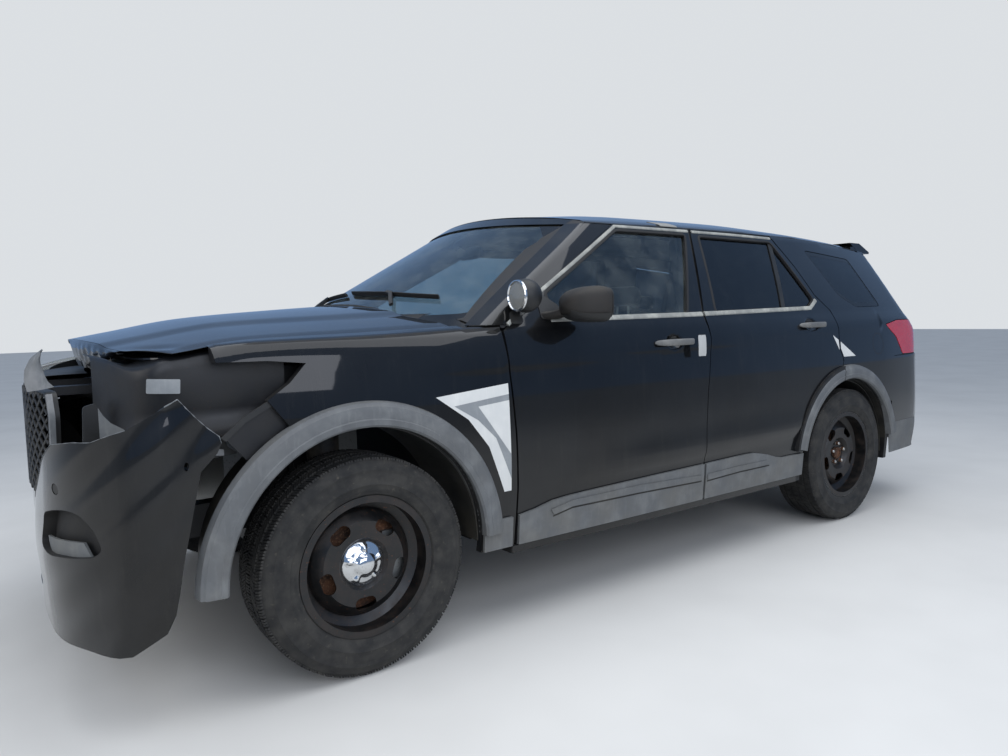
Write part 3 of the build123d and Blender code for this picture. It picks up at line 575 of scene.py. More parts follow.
print("ageing ready")

# %% [markdown]
# ## Black paint under years of dust
# The body is black enamel under clear lacquer, sprayed over pressed steel. Sprayed lacquer
# is never quite flat: it keeps a faint orange peel a few millimetres across, drawn here as
# shallow bumps. Dust settles on the roof and hood, rain leaves streaks, and the sills carry
# road dirt. The shine comes from the shader's coat, so it stays black face on and mirrors
# the sky at a glance.

# %% Body paint
upright_streaks = (1.0, 1.0, 0.09)


def lacquered_paint():
    enamel = "#030304"
    made, tree, main, place = shader(
        "black_enamel_under_lacquer", enamel, 0.5, Coat_Weight=1.0, Coat_Roughness=0.03,
        Coat_IOR=1.42, Specular_IOR_Level=0.1,
    )
    dust = settled_dust(tree, place, 1.0, 0.165, 0.075)
    streaks = patches(tree, place, 24, 0.52, 0.8, 3.0, upright_streaks, 0.05)
    grime = add(tree, "ShaderNodeMath", {"operation": "ADD", "use_clamp": True}, {0: dust, 1: streaks})
    thin = add(tree, "ShaderNodeMath", {"operation": "MULTIPLY", 1: 0.5}, {0: grime})
    faded = patches(tree, place, 420, 0.35, 0.7, 2.0)
    orange_peel, dents = patches(tree, place, 6, 0.0, 1.0, 1.0), patches(tree, place, 260, 0.0, 1.0, 1.0)
    age(tree, main, enamel, [("#090b0e", faded), ("#6e6a60", thin)], {"Roughness": (0.35, 0.8, grime)},
        [(orange_peel, 0.02), (dents, 0.3)])
    return made


body_paint = lacquered_paint()
print("paint nodes", len(body_paint.node_tree.nodes))

# %% [markdown]
# ## Moulded plastics
# The wheel flares and the lower cladding are polypropylene, moulded in grey and never
# painted. The mould gives a fine leather grain, and sun and rain leave chalky patches. The
# cabin trim is the same family of plastic, moulded in near black.

# %% Weathered plastics
def moulded_plastic(name, colour, chalk, roughness, grain_mm, chalk_amount, dust=0.8, height=0.12):
    made, tree, main, place = shader(name, colour, roughness)
    faded = patches(tree, place, 90, 0.4, 0.75, 6.0, None, chalk_amount)
    streaks = patches(tree, place, 14, 0.5, 0.8, 3.0, (1.0, 1.0, 0.12), chalk_amount * 0.6)
    marks = add(tree, "ShaderNodeMath", {"operation": "ADD", "use_clamp": True}, {0: faded, 1: streaks})
    grain = add(tree, "ShaderNodeTexVoronoi", {"Scale": 1000 / grain_mm, "feature": "DISTANCE_TO_EDGE"},
                {"Vector": place})
    dirt = settled_dust(tree, place, dust * 0.5)
    age(tree, main, colour, [(chalk, marks), ("#77705f", dirt)],
        {"Roughness": (roughness, min(1.0, roughness + 0.18), marks)}, [(grain, height)])
    return made


# A leather grain is about 1.5 mm across; it is drawn at 2 to 4 mm so that it shows from here.
flare_plastic = moulded_plastic("weathered_grey_polypropylene", "#55585b", "#6f7274", 0.6, 3.0, 0.7)
trim_plastic = moulded_plastic("faded_window_moulding", "#7d7f7c", "#a9aaa4", 0.58, 2.0, 0.9, 0.4, 0.05)
black_plastic = moulded_plastic("moulded_black_abs", "#141516", "#2b2c2c", 0.5, 2.5, 0.5)
mirror_plastic = moulded_plastic("textured_mirror_abs", "#191613", "#2c2824", 0.66, 2.5, 0.5, 0.5)
cabin_plastic = moulded_plastic("grained_cabin_plastic", "#17181a", "#26272a", 0.6, 2.5, 0.4, 0.25)
grip_plastic = moulded_plastic("worn_grey_door_handle", "#5a5b5b", "#7d7d7b", 0.5, 2.5, 0.6, 0.3, 0.05)
inner_plastic = moulded_plastic("dusty_grey_bumper_core", "#5c6063", "#7a7c7b", 0.7, 4.0, 0.7, 0.9)
# Pale grey plastic; on the torn edge it is partly a painted highlight.
pale_plastic_and_highlight = moulded_plastic("scuffed_cover_edge", "#606467", "#85878a", 0.6, 3.0, 0.8, 0.3)
print("plastics done")

# %% [markdown]
# ## Glass and lamps
# Car glass is float glass bent hot, a little green at the edges. The rear panes are
# privacy glass, tinted nearly black through their whole depth. The tint is the shader's own
# base colour. The windshield carries dust and the dried trails of rain. A lamp's lens is
# moulded acrylic: coloured right through, ribbed inside and hazed by the sun outside.

# %% Glass and lens materials
def float_glass(name, tint, dust):
    made, tree, main, place = shader(name, tint, 0.0, Transmission_Weight=1.0, IOR=1.5)
    film = patches(tree, place, 130, 0.35, 0.8, 8.0, None, dust)
    trails = patches(tree, place, 12, 0.55, 0.85, 2.0, (1.0, 1.0, 0.08), dust)
    dirt = add(tree, "ShaderNodeMath", {"operation": "ADD", "use_clamp": True}, {0: film, 1: trails})
    age(tree, main, tint, [("#8f9088", dirt)],
        {"Roughness": (0.0, 0.5, dirt), "Transmission Weight": (1.0, 0.0, dirt)}, [])
    return made


# A wave texture of scale 1 repeats every 314 mm. Real ribs are a few millimetres apart; they
# are drawn as broad soft waves, 90 mm apart in the headlamp and 120 mm in the tail lamps.
wave_mm = 314


def lamp_plastic(name, colour, rib_mm, haze, clear=0.75):
    made, tree, main, place = shader(name, colour, 0.06, Transmission_Weight=clear, IOR=1.49,
                                     Coat_Weight=0.6, Coat_Roughness=0.08)
    yellowed = patches(tree, place, 50, 0.4, 0.8, 5.0, None, haze)
    ribs = add(tree, "ShaderNodeTexWave", {"Scale": wave_mm / rib_mm, "bands_direction": "Z"},
               {"Vector": place})
    age(tree, main, colour, [("#b9b39c", yellowed)], {"Roughness": (0.05, 0.4, yellowed)},
        [(ribs.outputs["Fac"], 0.6)])
    return made


clear_glass = float_glass("bent_float_glass", "#c9d3cf", 0.06)
tinted_glass = float_glass("privacy_glass", "#23282c", 0.08)
lamp_lens = lamp_plastic("hazed_polycarbonate_lens", "#dfe1dd", 90, 0.3)
tail_lens = lamp_plastic("red_acrylic_lens", "#c3141c", 120, 0.08, 0.25)
print("glass done")

# %% [markdown]
# ## Bright metal
# Chrome plate, zinc plate and cast metal differ by colour and by how sharply they mirror.
# Rust or pitting breaks through in spots, and a rusty spot is no longer metal to the eye.

# %% Plated and cast metals
def plated_metal(name, colour, roughness, spots, spot_amount):
    made, tree, main, place = shader(name, colour, roughness, Metallic=1.0)
    rust = patches(tree, place, 9, 0.55, 0.75, 8.0, None, spot_amount)
    uneven = patches(tree, place, 30, 0.0, 1.0, 3.0)
    changes = {"Metallic": (1.0, 0.0, rust), "Roughness": (roughness, 0.9, rust)}
    age(tree, main, colour, [(spots, rust)], changes, [(rust, 0.25), (uneven, 0.15)])
    return made


lamp_chrome = plated_metal("aluminised_reflector", "#c9ccce", 0.12, "#6e6a64", 0.15)
bright_chrome = plated_metal("electroplated_chrome", "#cfd1d2", 0.1, "#6b4a33", 0.35)
bare_steel = plated_metal("freshly_scraped_steel", "#c4c6c8", 0.32, "#8b8781", 0.4)
nut_steel = plated_metal("zinc_plated_steel", "#b3b1ab", 0.34, "#5d4433", 0.6)
exhaust_steel = plated_metal("heat_stained_steel", "#77716a", 0.42, "#573d2c", 0.8)
engine_iron = plated_metal("cast_aluminium", "#8e8f8d", 0.55, "#4a4640", 0.7)
radiator_fins = plated_metal("black_finned_aluminium", "#3a3c3d", 0.5, "#2a2926", 0.7)
print("metals done")

# %% [markdown]
# ## Steel that was never meant to be seen
# Hubs and brake discs are bare iron and rust within days. The rims are pressed steel
# dipped in black electrocoat, which chips along the lip, and brake dust bakes on in brown.
# The structure behind the torn bumper is dip coat under a near-black overspray, with dirt;
# that near black is partly painted shade in the headlamp's pocket.

# %% Iron and dip coat
def rusted(name="rusted_cast_iron"):
    made, tree, main, place = shader(name, "#4a3020", 0.9)
    broad = patches(tree, place, 40, 0.3, 0.7, 8.0)
    flakes = patches(tree, place, 7, 0.5, 0.75, 6.0, None, 0.6)
    scale = patches(tree, place, 5, 0.2, 0.9, 6.0)
    age(tree, main, "#2a1d16", [("#63402a", broad), ("#93745a", flakes)], {}, [(scale, 0.5)])
    return made


def dip_coated(name, colour, roughness, dust_colour, dust_amount, chips):
    """Electrocoat: an even satin film; stone chips let rust through."""
    made, tree, main, place = shader(name, colour, roughness)
    dirt = patches(tree, place, 55, 0.38, 0.72, 7.0, None, dust_amount)
    chip = patches(tree, place, 8, 0.66, 0.7, 3.0, None, chips)
    worn = add(tree, "ShaderNodeMath", {"operation": "ADD", "use_clamp": True}, {0: dirt, 1: chip})
    age(tree, main, colour, [(dust_colour, dirt), ("#6d452c", chip)], {"Roughness": (roughness, 0.85, worn)},
        [(chip, -0.2), (patches(tree, place, 4, 0.0, 1.0, 2.0), 0.04)])
    return made


rusted_iron = rusted()
wheel_steel = dip_coated("black_dip_coated_rim", "#0e0f10", 0.38, "#3a2f27", 0.4, 0.7)
primed_steel = dip_coated("dip_coated_body_steel", "#1b1c1e", 0.5, "#5d574c", 0.6, 0.5)
# Near-black overspray on steel; its darkness is partly painted shade in the headlamp's pocket.
overspray_and_painted_shade = dip_coated("dull_overspray_on_steel", "#08090d", 0.45, "#26241f", 0.25, 0.1)
print("steels done")

# %% [markdown]
# ## Rubber
# Tyres are vulcanised rubber, a dull black that greys with age. Dust sits in the tread and
# dries along the moulded rings of the side wall.

# %% Tyre rubber and seals
def tyre_compound():
    black = "#151515"
    made, tree, main, place = shader("vulcanised_tyre_rubber", black, 0.78)
    greyed = patches(tree, place, 70, 0.3, 0.75, 7.0, None, 0.65)
    dried = patches(tree, place, 18, 0.58, 0.8, 5.0, None, 0.45)
    age(tree, main, black, [("#3f3d39", greyed), ("#5f594e", dried)], {},
        [(patches(tree, place, 3, 0.0, 1.0, 3.0), 0.08)])
    return made


tyre_rubber = tyre_compound()
# Near-black rubber; deep in the fog lamp openings it also paints the shade.
seal_rubber_and_shade = moulded_plastic("extruded_rubber_seal", "#0d0d0e", "#232323", 0.7, 2.0, 0.5, 0.4, 0.03)
print("rubber done")

# %% [markdown]
# ## Cloth, film and webbing
# The seats are covered in a plain woven cloth. Its real threads are about 0.8 mm apart, too
# fine to show through the glass, so the weave is drawn very coarse, at 40 mm. The roof
# lining is a pale fleece. The films, tags and cords are thin plastics, nearly smooth.

# %% Fabrics and films
def woven(name, colour, thread_colour, thread_mm, roughness=0.95):
    made, tree, main, place = shader(name, colour, roughness, Sheen_Weight=0.3, Sheen_Roughness=0.5)
    along, across, upward = (add(tree, "ShaderNodeTexWave", {
        "Scale": wave_mm / thread_mm, "bands_direction": axis, "Distortion": 0.6,
    }, {"Vector": place}).outputs["Fac"] for axis in "XYZ")
    crossed = add(tree, "ShaderNodeMath", {"operation": "MAXIMUM", "use_clamp": True}, {0: along, 1: across})
    threads = add(tree, "ShaderNodeMath", {"operation": "MULTIPLY", "use_clamp": True},
                  {0: crossed, 1: upward})
    soiled = patches(tree, place, 110, 0.4, 0.8, 5.0, None, 0.3)
    age(tree, main, colour, [(thread_colour, threads), ("#4c4a46", soiled)], {}, [(threads, 0.5)])
    return made


seat_cloth = woven("woven_seat_cloth", "#1d1f23", "#34373d", 40)
roof_lining = woven("fleece_roof_lining", "#8c8a83", "#a09e97", 30)
webbing = woven("polyester_webbing", "#5f605d", "#7b7c78", 30, 0.8)
tag_card = moulded_plastic("grey_laminated_tag", "#a6a8a8", "#c2c3c1", 0.4, 6.0, 0.4, 0.3, 0.01)
white_film = moulded_plastic("weathered_white_film", "#c9cbca", "#dededa", 0.36, 20.0, 0.5, 0.5, 0.01)
grey_film = moulded_plastic("weathered_grey_film", "#7f8488", "#9a9ea0", 0.4, 20.0, 0.6, 0.5, 0.01)
frit_enamel = moulded_plastic("black_ceramic_frit", "#060606", "#161616", 0.18, 4.0, 0.3, 0.3, 0.01)
lanyard = moulded_plastic("black_cord_sheath", "#121212", "#2a2a2a", 0.8, 3.0, 0.4, 0.2)
print("materials", len(bpy.data.materials))

# %% [markdown]
# ## Doors, fenders and rear quarters
# These are the big pressings. Their outlines are the seams that show on the car, and every
# neighbour uses the same seam, so the gaps stay even. The right side is the left one
# mirrored, with its faces turned so that they still point outward.

# %% Seams of the body side
def arc(centre, radius, start, end, count=24):
    angles = np.radians(np.linspace(start, end, count))
    return [(centre[0] + radius * math.cos(a), centre[1] + radius * math.sin(a)) for a in angles]


sides = ((1, "left"), (-1, "right"))
roof_columns = 19
front_axle, rear_axle = 1512.5, -1512.5
front_arch_centre, front_arch_radius = (front_axle + 5, 396), 469
rear_arch_centre, rear_arch_radius = (rear_axle + 17, 365), 460
front_door_seam = [
    (890, 335), (880, 560), (885, 780), (905, 1060), (905, 1168), (690, 1308), (75, 1645), (-455, 1645),
    (-286, 1214), (-288, 1100), (-243, 850), (-218, 600), (-213, 335),
]
rear_door_seam = [
    (-217, 335), (-222, 600), (-247, 850), (-292, 1100), (-302, 1214), (-474, 1645), (-1152, 1636),
    (-1250, 1460), (-1312, 1300), (-1400, 1212), (-1406, 1100), (-1402, 1000), (-1434, 932),
    *arc(rear_arch_centre, rear_arch_radius, 78.2, -3.7),
]
front_window = [(640, 1312), (72, 1616), (-418, 1616), (-184, 1214), (600, 1207)]
rear_window = [(-515, 1613), (-1132, 1606), (-1286, 1275), (-1205, 1234), (-392, 1220)]
quarter_window = [(-1430, 1570), (-1955, 1526), (-2040, 1232), (-1700, 1228), (-1560, 1300)]
cups = [(-28, 1090), (-1150, 1140)]
print("points in the rear door's seam", len(rear_door_seam))

# %% [markdown]
# Each door has a shallow cup behind its handle for the fingers. The flat lattice is far too
# wide to show it, so closer points are added there.

# %% Door skins
def door_surface(x, z):
    """The body side with a hollow behind each door handle for the fingers."""
    points = cabin_skin(x, z)
    for cup_x, cup_z in cups:
        reach = np.sqrt(((points[..., 0] - cup_x) / 62) ** 2 + ((points[..., 2] - cup_z) / 38) ** 2)
        points[..., 1] -= 20 * (1 - ramp(reach, 0.35, 1.0))
    return points


def cup_lattice(cup):
    """Closer points round a hollow, which a wide lattice would miss."""
    return [(cup[0] + a, cup[1] + b) for a in np.arange(-72, 73, 9.0) for b in np.arange(-46, 47, 9.0)]


for side, word in sides:
    for name, seam, window, cup in (
        ("front_door", front_door_seam, front_window, cups[0]),
        ("rear_door", rear_door_seam, rear_window, cups[1]),
    ):
        panel(f"{name}_skin_{word}", f"{name}_{word}", body_paint, door_surface, rounded(seam, 12),
              [rounded(window, 24)], side, -1, extra=cup_lattice(cup))

# %% [markdown]
# The front fender runs from the door to the bumper. Its top edge turns over to meet the hood.

# %% Front fenders
fender_low = [(898, 334), (1052, 334), *arc(front_arch_centre, front_arch_radius, 187.6, 64.7)]
fender_front = [(1776, 905), (1832, 979), (1758, 1029), (1700, 1089), (1821, 1102), (1974, 1104)]
fender_top = [
    (float(x), float(crest_z(x) + crest_y(x) - 866 + 4)) for x in np.linspace(1985, 1075, 14)
]
fender_rear = [(1075, 1190), (912, 1190), (912, 1062), (893, 780), (888, 560)]
fender_seam = [*fender_low, *fender_front, *fender_top, *fender_rear]
for side, word in sides:
    panel("fender_skin_" + word, "root", body_paint, front_skin, fender_seam, (), side, -1)
print("fender seam points", len(fender_seam))

# %% [markdown]
# The tail closes the body side with a rounded corner. Where the side meets the tail, the
# skin is followed round a post inside the car, so that one sheet can wrap both.

# %% The tail's surface
tail_levels = np.array([
    (250, -1900, 1020, -2370, 920, -2548, 660, -2606), (1090, -1900, 1020, -2370, 920, -2544, 660, -2602),
    (1200, -1850, 960, -2320, 860, -2486, 640, -2546), (1640, -1700, 780, -2120, 700, -2272, 560, -2330),
    (1850, -1620, 700, -2030, 620, -2170, 500, -2228),
], float)


def circle(ax, ay, bx, by, cx, cy):
    """Centre and radius of the circle through three points."""
    d = 2 * (ax * (by - cy) + bx * (cy - ay) + cx * (ay - by))
    a, b, c = ax**2 + ay**2, bx**2 + by**2, cx**2 + cy**2
    x = (a * (by - cy) + b * (cy - ay) + c * (ay - by)) / d
    y = (a * (cx - bx) + b * (ax - cx) + c * (bx - ax)) / d
    return x, y, np.hypot(ax - x, ay - y)


def plan_arcs(y, plan, outward):
    """The x of an end's plan at y: an arc round the corner, then a flatter one across the middle."""
    y = np.abs(np.asarray(y, float))
    side_x, side_y, corner_x, corner_y, edge_x, edge_y, middle = plan
    x1, y1, r1 = circle(side_x, side_y, corner_x, corner_y, edge_x, edge_y)
    x2, _, r2 = circle(edge_x, edge_y, middle, edge_y * 0, edge_x, -edge_y)
    near = x1 + outward * np.sqrt(np.maximum(r1**2 - (y - y1) ** 2, 0))
    far = x2 + outward * np.sqrt(np.maximum(r2**2 - y**2, 0))
    return np.where(y > edge_y, near, far)


def tail_x(y, z):
    """The tail at a height, between the measured levels, which are blended over 36 mm."""
    z = np.asarray(z, float)
    plan = [np.mean([np.interp(z + s, tail_levels[:, 0], level) for s in np.linspace(-18, 18, 5)], 0)
            for level in tail_levels.T[1:]]
    return plan_arcs(y, plan, -1)


def tail_face(y, z):
    y, z = pair(y, z)
    return np.stack([tail_x(y, z), y, z], -1)


print("tail at its middle", float(tail_x(0, 900)))

# %% [markdown]
# Where the side meets an end of the car, a flat outline needs one measure that runs along
# both. It is the angle about an upright post inside the car. The two surfaces are met by
# halving along each ray, and a soft minimum rounds the corner between them.

# %% Round the corner
def round_a_post(u, z, post, turn, side_line, end_line):
    """The corner between the side and an end face, followed by angle about an upright post."""
    angle = np.radians(u / 10)
    out, along = np.cos(angle), np.sin(angle) * turn
    reach = []
    for test in (lambda x, y: y > side_line(x, z), lambda x, y: turn * (x - end_line(y, z)) > 0):
        low, high = np.zeros(u.shape), np.full(u.shape, 1500.0)
        for _ in range(32):
            middle = (low + high) / 2
            past = test(post[0] + along * middle, post[1] + out * middle)
            low, high = np.where(past, low, middle), np.where(past, middle, high)
        reach.append(high)
    softness = 9.0
    lowest = np.minimum(*reach)
    both = lowest - softness * np.log(sum(np.exp(-(r - lowest) / softness) for r in reach))
    return np.stack([post[0] + along * both, post[1] + out * both, z], -1)


def tail_skin(u, q):
    """Ahead of x -1900 u is the place along the car; behind it u counts tenths of a degree."""
    u, q = pair(u, q)
    ahead = cabin_skin(np.maximum(u, -1900), q)
    behind = round_a_post(np.maximum(-1900 - u, 0), q, (-1900, 500), -1, cabin_y, tail_x)
    return np.where((u > -1900)[..., None], ahead, behind)


def tail_u(z, x=None, y=None):
    """The u at which the tail's skin reaches this x, or this y."""
    z = np.asarray(z, float)
    test = (lambda u: tail_skin(u, z)[..., 0] > x) if y is None else (lambda u: tail_skin(u, z)[..., 1] > y)
    return float(meet(z * 0 - 2860, z * 0 - 1900, test))


print("tail at y 661:", [round(tail_u(z, y=661)) for z in (700.0, 1100.0, 1400.0)])

# %% The rear quarters
def quarter_seam():
    """Round the rear door, along the roof rail, down the tail lamp's edge and over the wheel."""
    top = [(x, float(rail_z(x)) - 8) for x in (-1159, -1300, -1500, -1700, -1890)]
    top += [(tail_u(z, x=x), z) for x, z in ((-2000.0, 1598.0), (-2100.0, 1590.0), (-2190.0, 1576.0))]
    rear = [(tail_u(z, y=662.0), z) for z in (1500.0, 1400.0, 1250.0, 1148.0)]
    lamp = [(tail_u(1148.0, x=-2107.0), 1148), (tail_u(1125.0, x=-1958.0), 1126)]
    lamp += [(tail_u(1043.0, x=-2072.0), 1043), (tail_u(932.0, x=-2149.0), 932)]
    low = [(tail_u(930.0, x=-2033.0), 930), (tail_u(660.0, x=-2033.0), 660), (tail_u(655.0, x=-1992.0), 655)]
    wheel = arc(rear_arch_centre, rear_arch_radius, 144, 78.2)
    door = [(-1440, 932), (-1408, 1000), (-1412, 1100), (-1406, 1214), (-1318, 1304), (-1256, 1464)]
    return top + rear + lamp + low + wheel + door


sill = [(905, 300), (905, 329), (-1000, 329), (-1000, 300)]
for side, word in sides:
    panel("quarter_skin_" + word, "root", body_paint, tail_skin, quarter_seam(),
          [rounded(quarter_window, 40)], side, -1)
    panel("sill_edge_" + word, "root", body_paint, cabin_skin, sill, (), side, -1)
print("points in the quarter's seam", len(quarter_seam()))

# %% [markdown]
# ## Roof, windshield pillars and hood
# The roof is pressed in one piece with shallow stiffening channels. The windshield pillars are
# wide painted posts: each starts at the door seam, turns the corner and ends on the glass.

# %% Roof
def roof_rows():
    across = np.linspace(0, 1, roof_columns)

    def at(x, share):
        edge, rise = rail_z(x), roof_z(x) - rail_z(x)
        radius = (rail_y(x) ** 2 + rise**2) / (2 * rise)
        reach = radius * np.arcsin(rail_y(x) / radius)
        return cabin_skin(x, edge - 7 + share * (reach + 7))

    def past_header(x):
        points = at(x, across)
        return points[:, 0] > windshield_point(points[:, 1], points[:, 2])[:, 0] - 6

    front = meet(across * 0 - 300, across * 0 + 700, past_header)
    # Over the liftgate the roof ends early, clear of the gate's swing.
    back = np.where(at(-2150, across)[:, 1] < 656, -2113, -2182)
    rows = []
    for share in np.linspace(0, 1, 56):
        x = front + (back - front) * share
        points = at(x, across)
        channel = np.exp(-((points[:, 1] - 330) / 34) ** 2) + np.exp(-((points[:, 1] - 120) / 34) ** 2)
        points[:, 2] += skin_lift - 3.5 * channel * ramp(share, 0.08, 0.2) * ramp(share, 0.97, 0.85)
        points[:, 1] += skin_lift * (1 - across) ** 3
        rows.append(np.concatenate([points, points[-2::-1] * [1, -1, 1]]))
    return rows, front


roof_shape, header_x = roof_rows()
lofted("roof_skin", "root", body_paint, roof_shape)
print("header from x", header_x.min().round(), "to", header_x.max().round())

# %% Windshield pillars
def pillar_rows():
    door_z, door_x = [1168, 1308, 1645], [905, 690, 75]
    rows = []
    for z in np.linspace(1193, 1641, 30):
        start = np.interp(z, door_z, door_x) + 5
        corner_x, corner_y = (float(v) for v in pillar_corner(z))
        along = [(start + (corner_x - start) * t) for t in (0, 0.25, 0.5, 0.75, 0.93)]
        row = [(x, float(cabin_y(x, z)) + skin_lift, z) for x in along]
        for inward_step in (7, 20, 40, 62):
            x, y, _ = windshield_point(corner_y - inward_step, z)
            row.append((float(x) + skin_lift, float(y) + (1 if inward_step < 10 else 0), z))
        rows.append(row)
    return rows


pillar_shape = np.array(pillar_rows())
for side, word in sides:
    lofted("pillar_skin_" + word, "root", body_paint, pillar_shape, side)
print("pillar rows", len(pillar_shape))

# %% [markdown]
# The hood has a raised middle, and its front corner on the torn side is buckled. The
# buckle is a bent fold that fades out over a hand's width, as in thin steel.

# %% Hood and nose
nose_plan = (1650, 1020, 2190, 900, 2338, 640, 2392)


def nose_x(y):
    return plan_arcs(y, nose_plan, 1)


def hood_surface(x, y):
    x, y = pair(x, y)
    rise = hood_z(x) - crest_z(x)
    radius = (crest_y(x) ** 2 + rise**2) / (2 * rise)
    z = hood_z(x) - radius + np.sqrt(radius**2 - y**2)
    spread = 470 + 90 * ramp(x, 2300, 1200)
    z = z + 9 * ramp(np.abs(y), spread + 70, spread - 40)
    z = z - 5 * ramp(np.abs(y), 800, 866)
    buckle = np.exp(-(((x - 2190) / 90) ** 2) - ((y - 800) / 95) ** 2)
    z = z + buckle * (14 * np.sin((x + 0.7 * y) / 21) - 6)
    return np.stack([x, y, z], -1)


hood_inset, cowl_gap = 148, 50
hood_front = [(float(nose_x(y)) - hood_inset, y) for y in np.linspace(-860, 860, 33)]
hood_back = [(float(windshield_point(y, hood_surface(1200, y)[2])[0]) + cowl_gap, y)
             for y in np.linspace(860, -860, 25)]
hood_lattice = [(x, y) for x in np.arange(2040, 2300, 12.0) for y in np.arange(660, 858, 12.0)]
hood_lattice = [p for p in hood_lattice if p[0] < float(nose_x(p[1])) - hood_inset - 12]
skin = panel("hood_skin", "hood", body_paint, hood_surface, hood_front + hood_back, (), 1, 1, spacing=26,
             extra=hood_lattice)
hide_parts("hood")
inner_hood = [(x - 14 if x > 1500 else x + 14, y * 0.975) for x, y in hood_front + hood_back]
open_middle = rounded([(2080, -600), (2080, 600), (1500, 640), (1500, -640)], 90)
panel("hood_inner_frame", "hood", body_paint, hood_surface, inner_hood, [open_middle], 1, 1, -22, 5, 40)
print("hood edge at", [round(v) for v in hood_front[16]])

# %% [markdown]
# Between the hood and the grille lies a low plastic shelf, left on the whole side only. On
# the torn side the hood's front edge is folded down and crumpled.

# %% Shelf and folded edge
lip_section = [
    (-200, 1036), (-100, 1035), (-56, 1033), (-26, 1028), (-8, 1020), (2, 1012), (5, 1005), (-8, 998),
]
lip_rows = [[(float(nose_x(y)) + x, y, z) for x, z in lip_section] for y in np.linspace(-838, -130, 41)]
lofted("nose_lip", "root", black_plastic, lip_rows)
fold_rows = []
for y in np.linspace(-60, 650, 90):
    edge, drop = float(nose_x(y)) - hood_inset + 1, 88 * float(ramp(y, 650, 430) * ramp(y, -60, 60))
    top = float(hood_surface(edge, y)[2])
    row = []
    for share, out in ((0, 0), (0.06, 7), (0.2, 10), (0.4, 9), (0.6, 6), (0.8, 1), (1, -7)):
        wave = math.sin(y / 17 + 5 * share) * math.sin(y / 41 - 7 * share)
        crease = 9 * share * float(ramp(y, 60, 300)) * wave
        row.append((edge + out + crease, y, top + 1 - (6 + drop) * share))
    fold_rows.append(row)
lofted("hood_front_fold", "hood", body_paint, fold_rows, 1, 1.5)
print("rows in the fold", len(fold_rows))

# %% [markdown]
# ## Glass
# Each pane is its own sheet, a few millimetres behind the painted skin. The door and liftgate
# panes have a rubber lip all round. The windshield and quarter panes are glued in and have a
# black fired border, the frit, that hides the glue.

# %% Windshield
def grown(points, amount):
    """The outline moved outward (or inward if negative) by amount."""
    points = np.array(points, float)
    area = np.sum(points[:, 0] * np.roll(points[:, 1], -1) - np.roll(points[:, 0], -1) * points[:, 1])
    before, after = points - np.roll(points, 1, 0), np.roll(points, -1, 0) - points
    ahead = before / np.hypot(*before.T)[:, None] + after / np.hypot(*after.T)[:, None]
    turn = np.stack([ahead[:, 1], -ahead[:, 0]], 1)
    length = np.maximum(np.hypot(*turn.T), 0.4)[:, None]
    return [tuple(p) for p in points + turn / length**2 * 2 * amount * (1 if area > 0 else -1)]


def windshield_outline():
    side_z = np.linspace(1180, 1600, 12)
    right = [(float(pillar_corner(z)[1]) - 50, z) for z in side_z]
    header = roof_shape[0][:roof_columns][::-1]
    top = [(y, float(np.interp(abs(y), header[:, 1], header[:, 2])) - 4) for y in np.linspace(560, -560, 15)]
    left = [(-y, z) for y, z in right[::-1]]
    bottom = [(y, 1150 + 16 * (abs(y) / 800) ** 2) for y in np.linspace(-820, 820, 11)]
    return bottom + right + top + left


pane_outline = windshield_outline()
pane = panel("windshield_pane", "root", clear_glass, windshield_point, pane_outline, (), 1, 1, -6, 5, 60)
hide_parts("windshield")
frit_hole = [(y * 0.93, 1230 + (z - 1150) * 0.79) for y, z in pane_outline]
panel("windshield_frit", "root", frit_enamel, windshield_point, pane_outline, [frit_hole], 1, 1, -5.4, 0.4,
      40)
print("windshield outline points", len(pane_outline))

# %% [markdown]
# The side panes lie a little deeper than the skin. The rear door's pane is split by a black
# divider, as the small rear part doesn't wind down.

# %% Side glass
for side, word in sides:
    front_pane = panel("front_door_pane_" + word, "front_door_" + word, clear_glass, cabin_skin,
                       grown(rounded(front_window, 24), 5), (), side, -1, -7, 4, 60)
    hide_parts("front_door_glass_" + word)
    rear_pane = panel("rear_door_pane_" + word, "rear_door_" + word, tinted_glass, cabin_skin,
                      grown(rounded(rear_window, 24), 5), (), side, -1, -7, 4, 60)
    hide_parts("rear_door_glass_" + word)
    divider = [(-1113, 1606), (-1147, 1606), (-987, 1226), (-953, 1226)]
    panel("rear_window_divider_" + word, "rear_door_" + word, black_plastic, cabin_skin, divider, (), side,
          -1, -1, 5, 60)
    quarter_pane = panel("quarter_pane_" + word, "root", tinted_glass, tail_skin,
                         grown(rounded(quarter_window, 40), -3), (), side, -1, 1.0, 5, 60)
    if side > 0:
        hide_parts("quarter_glasses")
    frit = [(x + (-1750 - x) * 0.1, z + (1390 - z) * 0.17) for x, z in rounded(quarter_window, 40)]
    panel("quarter_frit_" + word, "root", frit_enamel, tail_skin, grown(rounded(quarter_window, 40), -4),
          [frit], side, -1, 1.4, 0.4, 40)
print("panes done")

# %% [markdown]
# ## Rubber and moulding strips
# Strips run along windows and seams. One helper sweeps a small profile along a line on a
# surface; the profile's first number is across the strip and its second is out of the skin.

# %% A profile along a line on the skin
def strip(name, body, material, surface, path, profile, side=1, outward=-1, closed=False, step=24):
    flat = np.array(dense(path, step, closed))
    normals = surface_normals(surface, flat, outward)
    centre = surface(flat[:, 0], flat[:, 1])
    ahead = np.roll(centre, -1, 0) - np.roll(centre, 1, 0)
    if not closed:
        ahead[0], ahead[-1] = centre[1] - centre[0], centre[-1] - centre[-2]
    across = np.cross(normals, ahead)
    across /= np.linalg.norm(across, axis=1)[:, None]
    rows = [centre + across * a + normals * h for a, h in profile]
    rows = np.array(rows).transpose(1, 0, 2)
    if closed:
        rows = np.concatenate([rows, rows[:1]])
    return solid_rows(name, body, material, rows, side)


